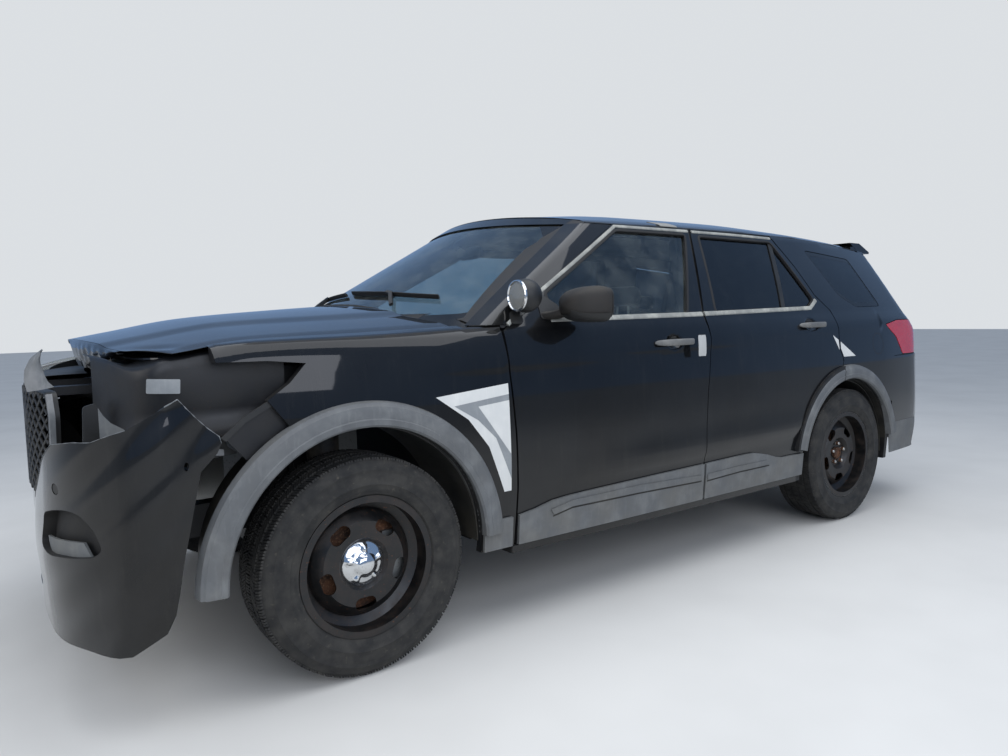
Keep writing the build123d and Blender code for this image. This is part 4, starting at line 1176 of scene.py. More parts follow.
def solid_rows(name, body, material, rows, side=1, caps=True, smooth_angle=35):
    """A closed solid through rings of points, with its ends closed."""
    rows = np.asarray(rows, float)
    m, n = rows.shape[:2]
    faces = [
        (i * n + j, (i + 1) * n + j, (i + 1) * n + (j + 1) % n, i * n + (j + 1) % n)
        for i in range(m - 1) for j in range(n)
    ]
    joined = np.linalg.norm(rows[0] - rows[-1]) < 1e-6
    if caps and not joined:
        faces += [tuple(range(n - 1, -1, -1)), tuple((m - 1) * n + j for j in range(n))]
    points = rows.reshape(-1, 3) * [1, side, 1]
    obj = mesh_object(name, points, faces)
    shape = bmesh.new()
    shape.from_mesh(obj.data)
    bmesh.ops.remove_doubles(shape, verts=shape.verts, dist=1e-6)
    bmesh.ops.recalc_face_normals(shape, faces=shape.faces)
    if shape.calc_volume(signed=True) < 0:
        bmesh.ops.reverse_faces(shape, faces=shape.faces)
    shape.to_mesh(obj.data)
    shape.free()
    obj.data.shade_smooth()
    obj.data.set_sharp_from_angle(angle=math.radians(smooth_angle))
    return put(obj, body, material)


def crowned_strip(width, height, sink=4):
    """A rounded strip section, sunk a little into the skin."""
    w = width / 2
    left = [(-w, -sink), (-w, height * 0.45), (-w * 0.72, height * 0.85)]
    return [*left, (0, height), *[(-x, h) for x, h in reversed(left)]]


print("strip tools ready")

# %% [markdown]
# The mouldings round the side windows were bright once and have faded to grey. The rubber
# seals lie inside them.

# %% Window mouldings and seals
for side, word in sides:
    for name, body, path, width in (
        ("pillar_moulding", "front_door_", [(875, 1190), (664, 1316), (66, 1634), (-446, 1634)], 17),
        ("front_belt_moulding", "front_door_", [(655, 1206), (300, 1207), (-286, 1212)], 24),
        ("rear_belt_moulding", "rear_door_", [(-304, 1213), (-800, 1222), (-1215, 1230), (-1300, 1272)], 24),
        ("rear_top_moulding", "rear_door_", [(-476, 1633), (-800, 1632), (-1146, 1626)], 17),
    ):
        strip(name + "_" + word, body + word, trim_plastic, cabin_skin, path, crowned_strip(width, 8), side)
    for name, body, outline in (("front", "front_door_", front_window), ("rear", "rear_door_", rear_window)):
        strip(f"{name}_window_seal_{word}", body + word, seal_rubber_and_shade, cabin_skin, rounded(outline, 24),
              [(-7, -9), (-7, 4.5), (0, 5.5), (7, 3.5), (7, -9)], side, closed=True)
print("strips done")

# %% [markdown]
# ## Wheel flares and cladding
# The flares are separate grey mouldings clipped over the wheel openings. Their section is
# swept round the arch: an inner lip, a broad flat face, and an outer edge rolled back to
# the fender. The rear one is cut where the door ends, and its front part rides on the door.

# %% Flares
def flare(name, body, centre, radii, low_angle, high_angle, line, side, proud=0):
    r0, r1 = radii
    section = [
        (r0 + 2, -70), (r0, -16), (r0 + 1, 992), (r0 + 8, 1000), (r0 + 26, 1002), (r0 + 30, 999),
        (r0 + 52, 999), (r1 - 18, 994), (r1 - 14, 990), (r1 - 5, 986), (r1, 3), (r1 - 1, -10), (r1 - 30, -12),
        (r0 + 30, -60),
    ]
    rows = []
    for t in np.linspace(0, 1, 72):
        row = []
        for r, out in section:
            share = (r - r0) / (r1 - r0)
            a, b = low_angle(share), high_angle(share)
            angle = math.radians(a + (b - a) * t)
            x, z = centre[0] + r * math.cos(angle), centre[1] + r * math.sin(angle)
            skin_y = float(line(x, min(z, 1040)))
            row.append((x, out + proud if out > 900 else skin_y + out, z))
        rows.append(row)
    return solid_rows(name, body, flare_plastic, rows, side, smooth_angle=28)


front_radii, rear_radii = (front_arch_radius, 557), (rear_arch_radius, 540)
for side, word in sides:
    front = flare("front_flare_" + word, "root", front_arch_centre, front_radii, lambda s: 1.0,
                  lambda s: 179.0, front_y, side)
    flare("rear_flare_" + word, "root", rear_arch_centre, rear_radii, lambda s: 78.7 + 4.1 * s,
          lambda s: 168.8, cabin_y, side, 9)
    flare("rear_door_flare_" + word, "rear_door_" + word, rear_arch_centre, rear_radii,
          lambda s: 12.5, lambda s: 77.8 + 4.1 * s, cabin_y, side, 9)
    if side > 0:
        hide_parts("arch_flares")
print("flares done")

# %% [markdown]
# The cladding below the doors takes the stones that the wheels throw. It is moulded in
# one piece for each panel, with a raised accent line along it.

# %% Cladding
clad_top = smooth([
    (-1040, 454), (-845, 455), (-711, 487), (-567, 512), (-215, 507), (129, 502), (542, 494), (654, 490),
    (748, 480), (848, 454), (1043, 452)
])


def clad_outline(low, high):
    top = [(float(x), float(clad_top(x))) for x in np.linspace(high, low, 14)]
    return [(low, 336), (high, 336), *top]


for side, word in sides:
    for name, body, low, high in (
        ("fender_cladding", "root", 913, 1044), ("front_door_cladding", "front_door_" + word, -209, 882),
        ("rear_door_cladding", "rear_door_" + word, -1034, -223),
    ):
        panel(f"{name}_{word}", body, flare_plastic, cabin_skin, clad_outline(low, high), (), side, -1, 15,
              13, 40)
    accent = {
        "front_door_": [
            (729, 451), (612, 472), (234, 475), (-189, 458), (-189, 434), (234, 444), (613, 447), (714, 428)
        ],
        "rear_door_": [(-232, 457), (-470, 462), (-700, 461), (-726, 437), (-470, 437), (-232, 429)],
    }
    for body, outline in accent.items():
        panel(body + "accent_" + word, body + word, flare_plastic, cabin_skin, rounded(outline, 8), (), side,
              -1, 21, 5, 40)
        low_edge = [(x, z - 7) for x, z in outline[3 if body[0] == "f" else 2:]]
        strip(body + "accent_groove_" + word, body + word, seal_rubber_and_shade, cabin_skin, low_edge,
              [(-3, 10), (-3, 15.6), (3, 15.6), (3, 10)], side)
    sill_line = [(-1030, 326), (900, 326)]
    strip("sill_seam_" + word, "root", seal_rubber_and_shade, cabin_skin, sill_line,
          [(-4, -14), (-4, 2), (4, 2), (4, -14)], side)
print("cladding done")

# %% [markdown]
# ## Door handles
# Each handle is a grey bar that stands over a hollow in the door. The bar is thick in the
# middle and lies down on the skin at both ends.

# %% Handles
def superellipse(count, half_a, half_b, power=2.0):
    """A ring of points: an ellipse for power 2, and squarer for a higher one."""
    ring = []
    for k in range(count):
        a = 2 * math.pi * k / count
        c, s = math.cos(a), math.sin(a)
        ring.append((half_a * math.copysign(abs(c) ** (2 / power), c),
                     half_b * math.copysign(abs(s) ** (2 / power), s)))
    return ring


def handle(name, body, x_front, x_rear, z, side):
    rows = []
    for t in np.linspace(0, 1, 25):
        x = x_front + (x_rear - x_front) * t
        edge = 1 - abs(2 * t - 1) ** 5
        stand = 7 + 29 * float(ramp(t, 0, 0.2) * ramp(t, 1, 0.8)) ** 0.7
        half_z, half_y = 4 + 11 * edge**0.5, 3 + 6.5 * edge**0.5
        y = float(cabin_y(x, z)) + skin_lift + stand - 4
        rows.append([(x, y + a, z + b) for a, b in superellipse(14, half_y, half_z, 2 / 0.7)])
    return solid_rows(name, body, grip_plastic, rows, side)


for side, word in sides:
    handle("front_handle_" + word, "front_door_" + word, 102, -158, 1090, side)
    handle("rear_handle_" + word, "rear_door_" + word, -1036, -1272, 1140, side)
print("handles done")

# %% [markdown]
# ## Mirrors and spotlight
# The mirror housing is textured plastic, rounded at the front and open at the back for the
# glass. A superellipse ring that grows and fades along the housing gives that soft box.

# %% Mirror housing and glass
mirror_hinge = np.array([588, 1040, 1268])
mirror_back, mirror_length = 506, 172
mirror_power = 3.4


def stacked(middle, wide, tall, steps, power=2.0, count=40, lean=0.0):
    """Rings across the car, one behind the other; a step is (x offset, share of the size)."""
    x, y, z = middle
    ring = superellipse(count, wide, tall, power)
    return [[(x + dx - lean * b, y + a * share, z + b * share) for a, b in ring] for dx, share in steps]


def mirror_turn(points, angle=-14):
    c, s = math.cos(math.radians(angle)), math.sin(math.radians(angle))
    points = np.asarray(points, float) - mirror_hinge
    x, y = points[..., 0] * c - points[..., 1] * s, points[..., 0] * s + points[..., 1] * c
    return np.stack([x, y, points[..., 2]], -1) + mirror_hinge


def mirror_housing(side, word):
    body = "front_door_" + word
    rows = []
    for t in np.linspace(0, 1, 18):
        size = max((1 - t**3.2) ** 0.5, 0.03) * (0.92 + 0.08 * min(t * 6, 1))
        ring = superellipse(36, 98 * size, 70 * size, mirror_power)
        rows.append([
            (mirror_back + mirror_length * t, 1036 - 14.4 * t**2 + a, 1268 + b - 4 * t) for a, b in ring
        ])
    shell = solid_rows("mirror_housing_" + word, body, mirror_plastic, mirror_turn(rows), side)
    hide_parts("mirror_" + word)
    lip = stacked((506, 1036, 1268), 90, 64, ((-2, 1), (-7, 0.99), (-7, 0.9), (0, 0.88)), mirror_power, 36)
    solid_rows("mirror_rim_" + word, body, black_plastic, mirror_turn(lip), side)
    face = stacked((499, 1036, 1268), 82, 57, ((6, 0.9), (0, 1.0), (-2, 0.98)), mirror_power, 36)
    solid_rows("mirror_glass_" + word, body, lamp_chrome, mirror_turn(face), side)


print("mirror hinge at", mirror_hinge)

# %% [markdown]
# Under the housing runs a glossy black band. An arm joins the housing to a black corner piece
# in front of the door's window.

# %% Mirror band and arm
def mirror_mount(side, word):
    body = "front_door_" + word
    belly = []
    for t in np.linspace(0.05, 0.9, 12):
        size = (1 - t**3.2) ** 0.5
        low = sorted(p for p in superellipse(36, 98 * size, 70 * size, mirror_power) if p[1] < -30 * size)
        belly.append([
            (mirror_back + mirror_length * t, 1036 - 14.4 * t**2 + a * 1.012, 1266 + b * 1.02 - 4 * t)
            for a, b in low
        ])
    width = min(15, *(len(r) for r in belly))
    band = mirror_turn([r[:width] for r in belly])
    lofted("mirror_gloss_band_" + word, body, black_plastic, band, side, 2)
    arm = []
    for t in np.linspace(0, 1, 12):
        x, y, z = 652 - 44 * t, 900 + 92 * t, 1222 + 26 * t**1.6
        ring = superellipse(20, 44, 19, 2.6)
        arm.append([(x + a * (1.05 - 0.35 * t), y + b * 0.2, z + b * (1 - 0.1 * t)) for a, b in ring])
    solid_rows("mirror_arm_" + word, body, mirror_plastic, arm, side)
    corner = rounded([(700, 1208), (572, 1208), (590, 1262), (650, 1305), (690, 1286)], 12)
    panel("mirror_sail_" + word, body, black_plastic, cabin_skin, corner, (), side, -1, 6, 8, 30)


for side, word in sides:
    mirror_housing(side, word)
    mirror_mount(side, word)
print("mirrors done")

# %% [markdown]
# The spotlight is a black steel bowl on a bracket through the windshield pillar. A chrome
# ring holds its lens. The CAD bowl stays; the ring, lens and shaft are added.

# %% Spotlight
spot_middle = (806.0, 946.0, 1302.0)
ring_steps = [(34, 58), (38, 62), (44, 61), (46, 56), (40, 53), (34, 54), (34, 58)]
solid_rows("spotlight_ring", "root", bright_chrome, stacked(spot_middle, 1, 1, ring_steps), caps=False)
lens_steps = [(34, 54), (41, 53), (44, 38), (46, 18), (46, 2)]
solid_rows("spotlight_lens", "root", lamp_lens, stacked(spot_middle, 1, 1, lens_steps))
shaft = [
    [(780 + 20 * t + a, 946 - 60 * t, 1262 - 42 * t + b) for a, b in superellipse(16, 9, 9)]
    for t in np.linspace(0, 1, 6)
]
solid_rows("spotlight_shaft", "root", bright_chrome, shaft)
foot = rounded([(800, 1190), (862, 1190), (845, 1240), (790, 1252)], 14)
panel("spotlight_foot", "root", black_plastic, cabin_skin, foot, (), 1, -1, 9, 8, 20)
print("spotlight done")

# %% [markdown]
# ## Film, tag and strap
# What is left of the markings is plain weathered film in three layers on the fender, and a
# small triangle behind the rear door. A grey strap crosses the roof edge, and a blank tag
# hangs from the driver's handle. The film is only 0.1 mm thick, so each layer lies just
# proud of the next.

# %% Blank film and tag
for side, word in sides:
    layers = (
        ("outer", white_film, [(1237, 941), (918, 970), (916, 556), (949, 556), (1018, 739), (1104, 849)],
         3.5),
        ("band", grey_film, [(1163, 903), (918, 929), (916, 602), (985, 768), (1062, 843)], 3.9),
        ("inner", white_film, [(1059, 893), (918, 906), (918, 700), (985, 792)], 4.3),
    )
    for name, film, outline, lift in layers:
        panel(f"fender_film_{name}_{word}", "root", film, front_skin, outline, (), side, -1, lift, 0.25, 28)
    panel("rear_film_" + word, "root", white_film, tail_skin,
          [(-1417, 1038), (-1566, 951), (-1441, 952), (-1415, 1000)], (), side, -1, 3.5, 0.25, 28)
    panel("rear_door_film_" + word, "rear_door_" + word, white_film, cabin_skin,
          [(-1346, 1077), (-1398, 1048), (-1398, 992)], (), side, -1, 3.5, 0.25, 28)

strap_outline = [(-262, 1652), (-385, 1652), (-402, 1746), (-256, 1746)]
panel("roof_strap", "root", webbing, cabin_skin, strap_outline, (), 1, -1, 5.5, 2, 14)
fuel_door = [(-1835 + a, 1010 + b) for a, b in superellipse(48, 62, 62)]
strip("fuel_door_line", "root", seal_rubber_and_shade, tail_skin, fuel_door,
      [(-1.6, -1), (-1.6, 3.1), (1.6, 3.1), (1.6, -1)], closed=True)
print("films done")

# %% The hanging tag
tag_rows = []
for t in np.linspace(0, 1, 9):
    z, sway, half = 1118 - 97 * t, 4 * math.sin(t * 2.4), 25 if 0.06 < t < 0.97 else 22
    tag_rows.append([
        (-163 + x * half, y + sway, z) for x, y in ((1, 1012), (-1, 1015), (-1, 1016), (1, 1013))
    ])
solid_rows("door_tag", "front_door_left", tag_card, tag_rows)
string = [
    [(-150 + a - 10 * t, 1014 + b, 1098 + 22 * t) for a, b in superellipse(6, 0.9, 0.9)]
    for t in np.linspace(0, 1, 4)
]
solid_rows("tag_string", "front_door_left", lanyard, string)
print("tag done")

# %% [markdown]
# ## The torn front bumper
# The cover was one thin moulding. On its left side it has broken from the fender and sags
# forward. It is followed round a post inside the car, like the tail, so its outline can be
# drawn flat: the top edge rises to a torn tip, and the wheel side is folded in. On the right
# it still sits where it was fitted.

# %% The nose's surface
def wrapped_end(u, z, post, turn, side_line, end_line):
    """u counts tenths of a degree from the side, up to 900, then millimetres across the end."""
    corner = round_a_post(np.clip(u, 0, 900), z, post, turn, side_line, end_line)
    y = 1300 - np.maximum(u, 900)
    return np.where((u > 900)[..., None], np.stack([end_line(y, z), y, z], -1), corner)


def nose_skin(u, z):
    u, z = pair(u, z)
    points = wrapped_end(u, z, (1500, 400), 1, lambda x, h: front_y(x, np.minimum(h, 1055)), lambda y,
                         h: nose_x(y))
    points[..., 0] += 14 * np.exp(-(((z - 560) / 150) ** 2)) * ramp(u, 350, 800)
    return points


print("the nose's corner is at y", round(float(nose_skin(450, 700)[1])))

# %% [markdown]
# The torn half leans and swings about the middle of the nose, crumples a little, and its
# wheel side is folded in. The light would give away wrong normals, so they are read again
# from the bent surface by small steps.

# %% The bend of the torn half
def sagged(points, normals):
    points, normals = np.array(points), np.array(normals)
    lean, swing = Matrix.Rotation(math.radians(-4), 3, "X"), Matrix.Rotation(math.radians(-7), 3, "Z")
    turn, pivot = np.array(lean @ swing), np.array([nose_plan[-1], 0, 700])
    share = ramp(points[:, 1], 0, 420)[:, None]
    moved = (points - pivot) @ turn.T + pivot
    crumple = 5 * np.sin(points[:, 0] / 31
                         + points[:, 2] / 47) * np.sin(points[:, 2] / 58 - points[:, 1] / 83)
    moved += normals @ turn.T * (crumple * ramp(points[:, 1], 450, 850))[:, None]
    fold = ramp(2050 - points[:, 0], 0, 150)[:, None]
    moved += np.array([0, -46, 0]) * fold**1.3
    out = points * (1 - share) + moved * share
    tilted = normals @ turn.T + np.array([-0.45, 0, 0]) * fold
    out_normals = normals * (1 - share) + tilted * share
    return out, out_normals / np.linalg.norm(out_normals, axis=1)[:, None]


def torn_warp(points, normals):
    """Points bent by the sag, with normals read from the bent surface beside them."""
    step = 1.5
    across = np.cross(normals, [0, 0, 1.0])
    across /= np.linalg.norm(across, axis=1)[:, None]
    tangents = [
        sagged(points + way * step, normals)[0] - sagged(points - way * step, normals)[0]
        for way in (across, np.cross(normals, across))
    ]
    found = np.cross(*tangents)
    found /= np.linalg.norm(found, axis=1)[:, None]
    found *= np.sign(np.sum(found * normals, 1))[:, None]
    return sagged(points, normals)[0], found


halves = (("torn", 1, torn_warp), ("whole", -1, None))
print("the torn corner moves to",
      torn_warp(nose_skin([450.0], [700.0]), np.array([[0.7, 0.7, 0.1]]))[0].round())

# %% [markdown]
# Both halves have a fog lamp opening, a sensor and one half of the middle intake. The torn
# half's top edge is followed point by point, because its shape tells where it tore.

# %% Outlines of the two halves
cover_low = 336
torn_outline = [
    (1296, cover_low), (1296, 636), (1010, 640), (930, 690), (857, 754), (760, 860), (680, 936), (610, 956),
    (559, 964), (525, 984), (491, 1002), (461, 1036), (441, 1060), (419, 1078), (405, 1052), (383, 1018),
    (360, 986), (337, 960), (333, 940), (341, 911), (360, 880), (373, 860), (383, 785), (402, 655),
    (412, 590), (421, 520), (433, 440), (450, 385), (500, cover_low),
]
corner_opening = [
    (744, 712), (690, 738), (640, 752), (596, 752), (566, 712), (540, 655), (560, 630), (620, 612),
    (700, 596), (760, 612)
]
middle_opening = [(1292, 420), (1292, 540), (900, 545), (840, 520), (830, 440), (860, 420)]
screw_hole = [(401 + a, 882 + b) for a, b in superellipse(16, 4.6, 13)]
sensor_ring = [(672 + a, 806 + b) for a, b in superellipse(20, 12, 17)]
corner_hole = rounded(corner_opening, 20)
cover_lattice = [(u, z) for u in np.arange(340, 700, 11.0) for z in np.arange(400, 1070, 16.0)]
whole_outline = [
    (1304, cover_low), (1304, 636), (1010, 640), (930, 690), (900, 760), (880, 850), (877, 930), (860, 936),
    (700, 905), (560, 880), (430, 884), (345, 905), (300, 962), (262, 930), (300, 860), (335, 760),
    (352, 655), (372, 560), (400, 470), (470, 400), (560, 350), (700, cover_low),
]
print("points along the torn edge", len(torn_outline))

# %% The torn half and the whole half
torn = panel("bumper_cover_torn", "root", body_paint, nose_skin, torn_outline,
             [corner_hole, rounded(middle_opening, 18), screw_hole, sensor_ring],
             1, -1, 0, 3.2, 24, torn_warp, cover_lattice)
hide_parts("front_bumper")
mirrored_middle = [(u if u < 1290 else 1300, z) for u, z in middle_opening]
panel("bumper_cover_whole", "root", body_paint, nose_skin, whole_outline,
      [corner_hole, rounded(mirrored_middle, 18), sensor_ring], -1, -1, 0, 3.2, 30)
shelf = [(560, 600), (700, 580), (740, 640), (600, 660)]
intake = [(1300, 400), (1300, 560), (820, 560), (820, 400)]
sensor = [((u - 672) * 0.86 + 672, (z - 806) * 0.86 + 806) for u, z in sensor_ring]
for word, side, warp in halves:
    panel("parking_sensor_" + word, "root", black_plastic, nose_skin, sensor, (), side, -1, -1, 8, 12,
          warp)
    deep = [((u - 640) * (2.6 if u > 640 else 1.5) + 655, (z - 680) * 1.45 + 680) for u, z in corner_opening]
    # A near-black sheet deep behind each fog lamp opening paints the shade inside it.
    panel("corner_pocket_" + word, "root", seal_rubber_and_shade, nose_skin, rounded(deep, 24), (), side, -1, -36, 3,
          30, warp)
    panel("corner_shelf_" + word, "root", inner_plastic, nose_skin, shelf, (), side, -1, -13, 8, 30,
          warp)
    panel("intake_back_" + word, "root", black_plastic, nose_skin, intake, (), side, -1, -40, 4, 40,
          warp)
print("bumper cover done")

# %% [markdown]
# Along the tear a thin pale line shows: partly bare plastic where the lacquer broke off, and
# partly a painted highlight along the torn edge.
# Round the fog lamp opening the cover is folded in.

# %% Scraped edge with a painted highlight, and folded wall
def on_cover(path, step, closed, warp):
    """Places and directions on the cover along a flat path."""
    flat = np.array(dense(path, step, closed))
    points, normals = nose_skin(flat[:, 0], flat[:, 1]), surface_normals(nose_skin, flat, -1)
    return warp(points, normals) if warp else (points, normals)


def torn_edge(name, path, material, width=1.6):
    points, normals = on_cover(path, 12, False, torn_warp)
    rows = []
    for i, (point, out) in enumerate(zip(points, normals)):
        ahead = points[min(i + 1, len(points) - 1)] - points[max(i - 1, 0)]
        across = np.cross(ahead, out)
        across *= width * (0.55 + 0.45 * math.sin(i * 2.3)) / np.linalg.norm(across)
        rows.append([point + out * a + across * b for a, b in ((1.2, 1), (1.2, -1), (-3.4, -1), (-3.4, 1))])
    return solid_rows(name, "root", material, rows)


# Pale strips along the tear: partly bare plastic, partly a painted highlight on the torn edge.
torn_edge("scraped_edge_outer", torn_outline[12:19], pale_plastic_and_highlight)
torn_edge("scraped_edge_top", torn_outline[3:11], pale_plastic_and_highlight, 1.1)
for word, side, warp in halves:
    rows = [
        [point - out * depth for depth in (0.5, 19.5, 39)]
        for point, out in zip(*on_cover(corner_hole, 14, True, warp))
    ]
    lofted("corner_opening_wall_" + word, "root", seal_rubber_and_shade, rows + rows[:1], side, 1.5)
print("torn edges done")

# %% [markdown]
# Behind the rear tyres the arch is closed by a black moulded liner, so no daylight shows
# round the wheel.

# %% Rear arch liners
liner_section = ((300, 628), (430, 628), (450, 640), (455, 700), (456, 968))
liner_rows = []
for a in np.radians(np.linspace(172, 8, 40)):
    x, z = rear_arch_centre
    liner_rows.append([(x + r * math.cos(a), y, z + r * math.sin(a)) for r, y in liner_section])
for side, word in sides:
    lofted("rear_arch_liner_" + word, "root", black_plastic, liner_rows, side, 2)
print("liner rows", len(liner_rows))

# %% [markdown]
# ## Behind the torn cover
# With the cover gone, the missing headlamp's pocket shows: a dark dip-coated apron, the end
# of the grille's frame, a pale bent trim piece and a few brackets. Each is a thin sheet. The
# apron's near-black overspray and its shelf under the hood's edge are partly painted shade.

# %% Apron, label and brackets
apron_plan = smooth([
    (1740, 884), (1860, 866), (2000, 850), (2120, 842), (2165, 815), (2220, 700), (2262, 520)
])
rows = []
for x in np.linspace(1750, 2258, 40):
    y = float(apron_plan(x))
    top = float(hood_surface(x, y)[2]) - 14
    # The first points of each row make a near-black shelf under the hood's edge, a sheet that paints the
    # shade in the gap.
    row = [
        (x, y - 190, top + 6), (x, y - 90, top + 5), (x, y - 14, top), (x, y - 2, top - 12), (x, y, top - 40),
        (x, y + 6 * math.sin(x / 60), 1010), (x, y - 8, 960), (x, y - 10, 905), (x, y + 40, 880)
    ]
    rows.append(row)
lofted("lamp_pocket_apron", "root", overspray_and_painted_shade, rows, 1, 2)
low_rows = [[(x, y, min(z, 1030)) for x, y, z in row[3:]] for row in rows]
lofted("lamp_pocket_apron_right", "root", overspray_and_painted_shade, low_rows, -1, 2)


def apron_surface(x, z):
    x, z = pair(x, z)
    return np.stack([x, apron_plan(x), z], -1)


panel("pocket_label", "root", grey_film, apron_surface,
      rounded([(2148, 1063), (2059, 1057), (2062, 1013), (2151, 1019)], 4), (), 1, -1, 4, 0.4, 20)
print("apron rows", len(rows))

# %% [markdown]
# The brackets and the torn end of the liner are flat pieces that stand along the car.

# %% Brackets
def sheet_at(y):
    """A flat surface along the car, that far from its middle."""
    return lambda x, z: np.stack(np.broadcast_arrays(x, float(y), z), -1)


panel("grey_bracket", "root", inner_plastic, sheet_at(790),
      [(2277, 984), (2277, 880), (2200, 896), (2213, 914), (2246, 936), (2265, 960)], (), 1, -1, 0, 3, 20)
panel("pocket_duct", "root", black_plastic, sheet_at(640),
      rounded([(2300, 975), (2306, 850), (2250, 850), (2262, 985)], 10), (), 1, -1, 0, 12, 20)
tip_frame = [
    (1976, 878), (1905, 936), (1818, 984), (1770, 946), (1735, 880), (1752, 876), (1786, 930), (1816, 962),
    (1900, 918), (1962, 866)
]
panel("torn_liner_tip", "root", black_plastic, sheet_at(948), tip_frame, (), 1, -1, 0, 5, 14)
panel("torn_liner_web", "root", overspray_and_painted_shade, sheet_at(936),
      [(1960, 872), (1900, 920), (1816, 966), (1760, 900), (1742, 860), (1900, 800)], (), 1, -1, 0, 3, 20)
bracket = [(2010, 862), (1942, 862), (1935, 838), (1905, 812), (1990, 805), (2016, 826)]
panel("cover_bracket", "root", black_plastic, sheet_at(862), rounded(bracket, 6), (), 1, -1, 0, 14, 16)
panel("bracket_clip", "root", pale_plastic_and_highlight, sheet_at(876),
      rounded([(1980, 836), (1950, 832), (1950, 812), (1980, 816)], 4), (), 1, -1, 0, 5, 10)
print("brackets done")

# %% [markdown]
# A pale trim of the grille has bent forward into a crescent between two edges.

# %% Bent trim
crescent_rows = []
outer_edge = [(2374, 1152), (2409, 1124), (2428, 1085), (2432, 1048), (2425, 1013)]
inner_edge = [(2378, 1148), (2384, 1112), (2374, 1066), (2366, 1044), (2350, 1026)]
for t in np.linspace(0, 1, 15):
    k = t * 4
    outer_p = np.array([np.interp(k, range(5), [p[i] for p in outer_edge]) for i in (0, 1)])
    inner_p = np.array([np.interp(k, range(5), [p[i] for p in inner_edge]) for i in (0, 1)])
    row = []
    for s in np.linspace(0, 1, 8):
        x, z = outer_p + (inner_p - outer_p) * s
        row.append((x, 352 + 34 * math.sin(s * 2.2) + 10 * t, z))
    crescent_rows.append(row)
lofted("bent_grille_trim", "root", pale_plastic_and_highlight, crescent_rows, 1, 2.5)
print("front pieces done")

# %% [markdown]
# ## The grille's mesh
# The grille is one moulding of crossed bars. The lattice is drawn as bare edges on the
# curved face, and Geometry Nodes gives every edge its thickness, so the bar size is one
# number.

# %% Grille mesh with Geometry Nodes
def node_tree(name, inputs):
    tree = bpy.data.node_groups.new(name, "GeometryNodeTree")
    tree.interface.new_socket("Geometry", in_out="INPUT", socket_type="NodeSocketGeometry")
    for label, kind, value in inputs:
        socket = tree.interface.new_socket(label, in_out="INPUT", socket_type=kind)
        if value is not None:
            socket.default_value = value
    tree.interface.new_socket("Geometry", in_out="OUTPUT", socket_type="NodeSocketGeometry")
    return tree, add(tree, "NodeGroupInput").outputs


print("Geometry Nodes tools ready")

# %% [markdown]
# The tree turns each edge into a curve and sweeps a small circle along it. Realize
# Instances makes the result plain mesh.

# %% The tree for the bars
def bars_tree():
    tree, given = node_tree(
        "bars_on_edges", [("Bar radius", "NodeSocketFloat", 0.003), ("Material", "NodeSocketMaterial", None)]
    )
    lines = add(tree, "GeometryNodeMeshToCurve", None, {"Mesh": given["Geometry"]})
    ring = add(tree, "GeometryNodeCurvePrimitiveCircle", {"Resolution": 6}, {"Radius": given["Bar radius"]})
    bars = add(tree, "GeometryNodeCurveToMesh", {"Fill Caps": True}, {"Curve": lines, "Profile Curve": ring})
    whole = add(tree, "GeometryNodeRealizeInstances", None, {"Geometry": bars})
    painted = add(tree, "GeometryNodeSetMaterial", None, {"Geometry": whole, "Material": given["Material"]})
    add(tree, "NodeGroupOutput", None, {"Geometry": painted})
    return tree


bars = bars_tree()
print("nodes in the tree for the bars", len(bars.nodes))


# %% Run a tree on an object
def grown_by_nodes(obj, tree, body, material, slot=None, **values):
    """Runs a node tree on an object, keeps the result as a plain mesh and drops the modifier."""
    modifier = obj.modifiers.new("nodes", "NODES")
    modifier.node_group = tree
    for item in tree.interface.items_tree:
        if item.in_out == "INPUT" and item.name in values:
            modifier[item.identifier] = values[item.name]
        if item.in_out == "INPUT" and item.name == "Material":
            modifier[item.identifier] = material
    mesh = bpy.data.meshes.new_from_object(obj.evaluated_get(bpy.context.evaluated_depsgraph_get()))
    obj.modifiers.remove(modifier)
    obj.data = mesh
    mesh.name = obj.name
    return put(obj, body, material)


print("node tools ready")

# %% [markdown]
# Bars lean both ways across the opening, 52 mm apart along the height, and stop at its frame.

# %% Grille lattice
bar_spacing, bar_lean = 52.0, 0.62
grille_frame = [
    (-395, 1002), (395, 1002), (420, 930), (408, 841), (330, 720), (250, 640), (-250, 640), (-330, 720),
    (-408, 841), (-420, 930)
]


def grille_lattice():
    points, edges = [], []
    for lean in (1, -1):
        for offset in np.arange(-1500, 1500, bar_spacing):
            last = None
            for y in np.arange(-460, 461, 10.0):
                z = 820 + lean * y * bar_lean + offset
                if inside(np.array([(y, z)]), np.array(grille_frame))[0]:
                    points.append((float(nose_x(y)) + 20 - 14 * (abs(y) / 400) ** 2, y, z))
                    if last is not None:
                        edges.append((last, len(points) - 1))
                    last = len(points) - 1
                else:
                    last = None
    mesh = bpy.data.meshes.new("grille_mesh")
    mesh.from_pydata(to_frame(points).tolist(), edges, [])
    return add_object("grille_mesh", mesh)


grille_mesh = grown_by_nodes(grille_lattice(), bars, "root", black_plastic, "black_plastic",
                             **{"Bar radius": 0.0052})
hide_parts("grille")
print("grille triangles", len(grille_mesh.data.polygons))

# %% Frame, bright edge and blank disc
def nose_flat(y, z):
    y, z = pair(y, z)
    return np.stack([nose_x(y), y, z], -1)


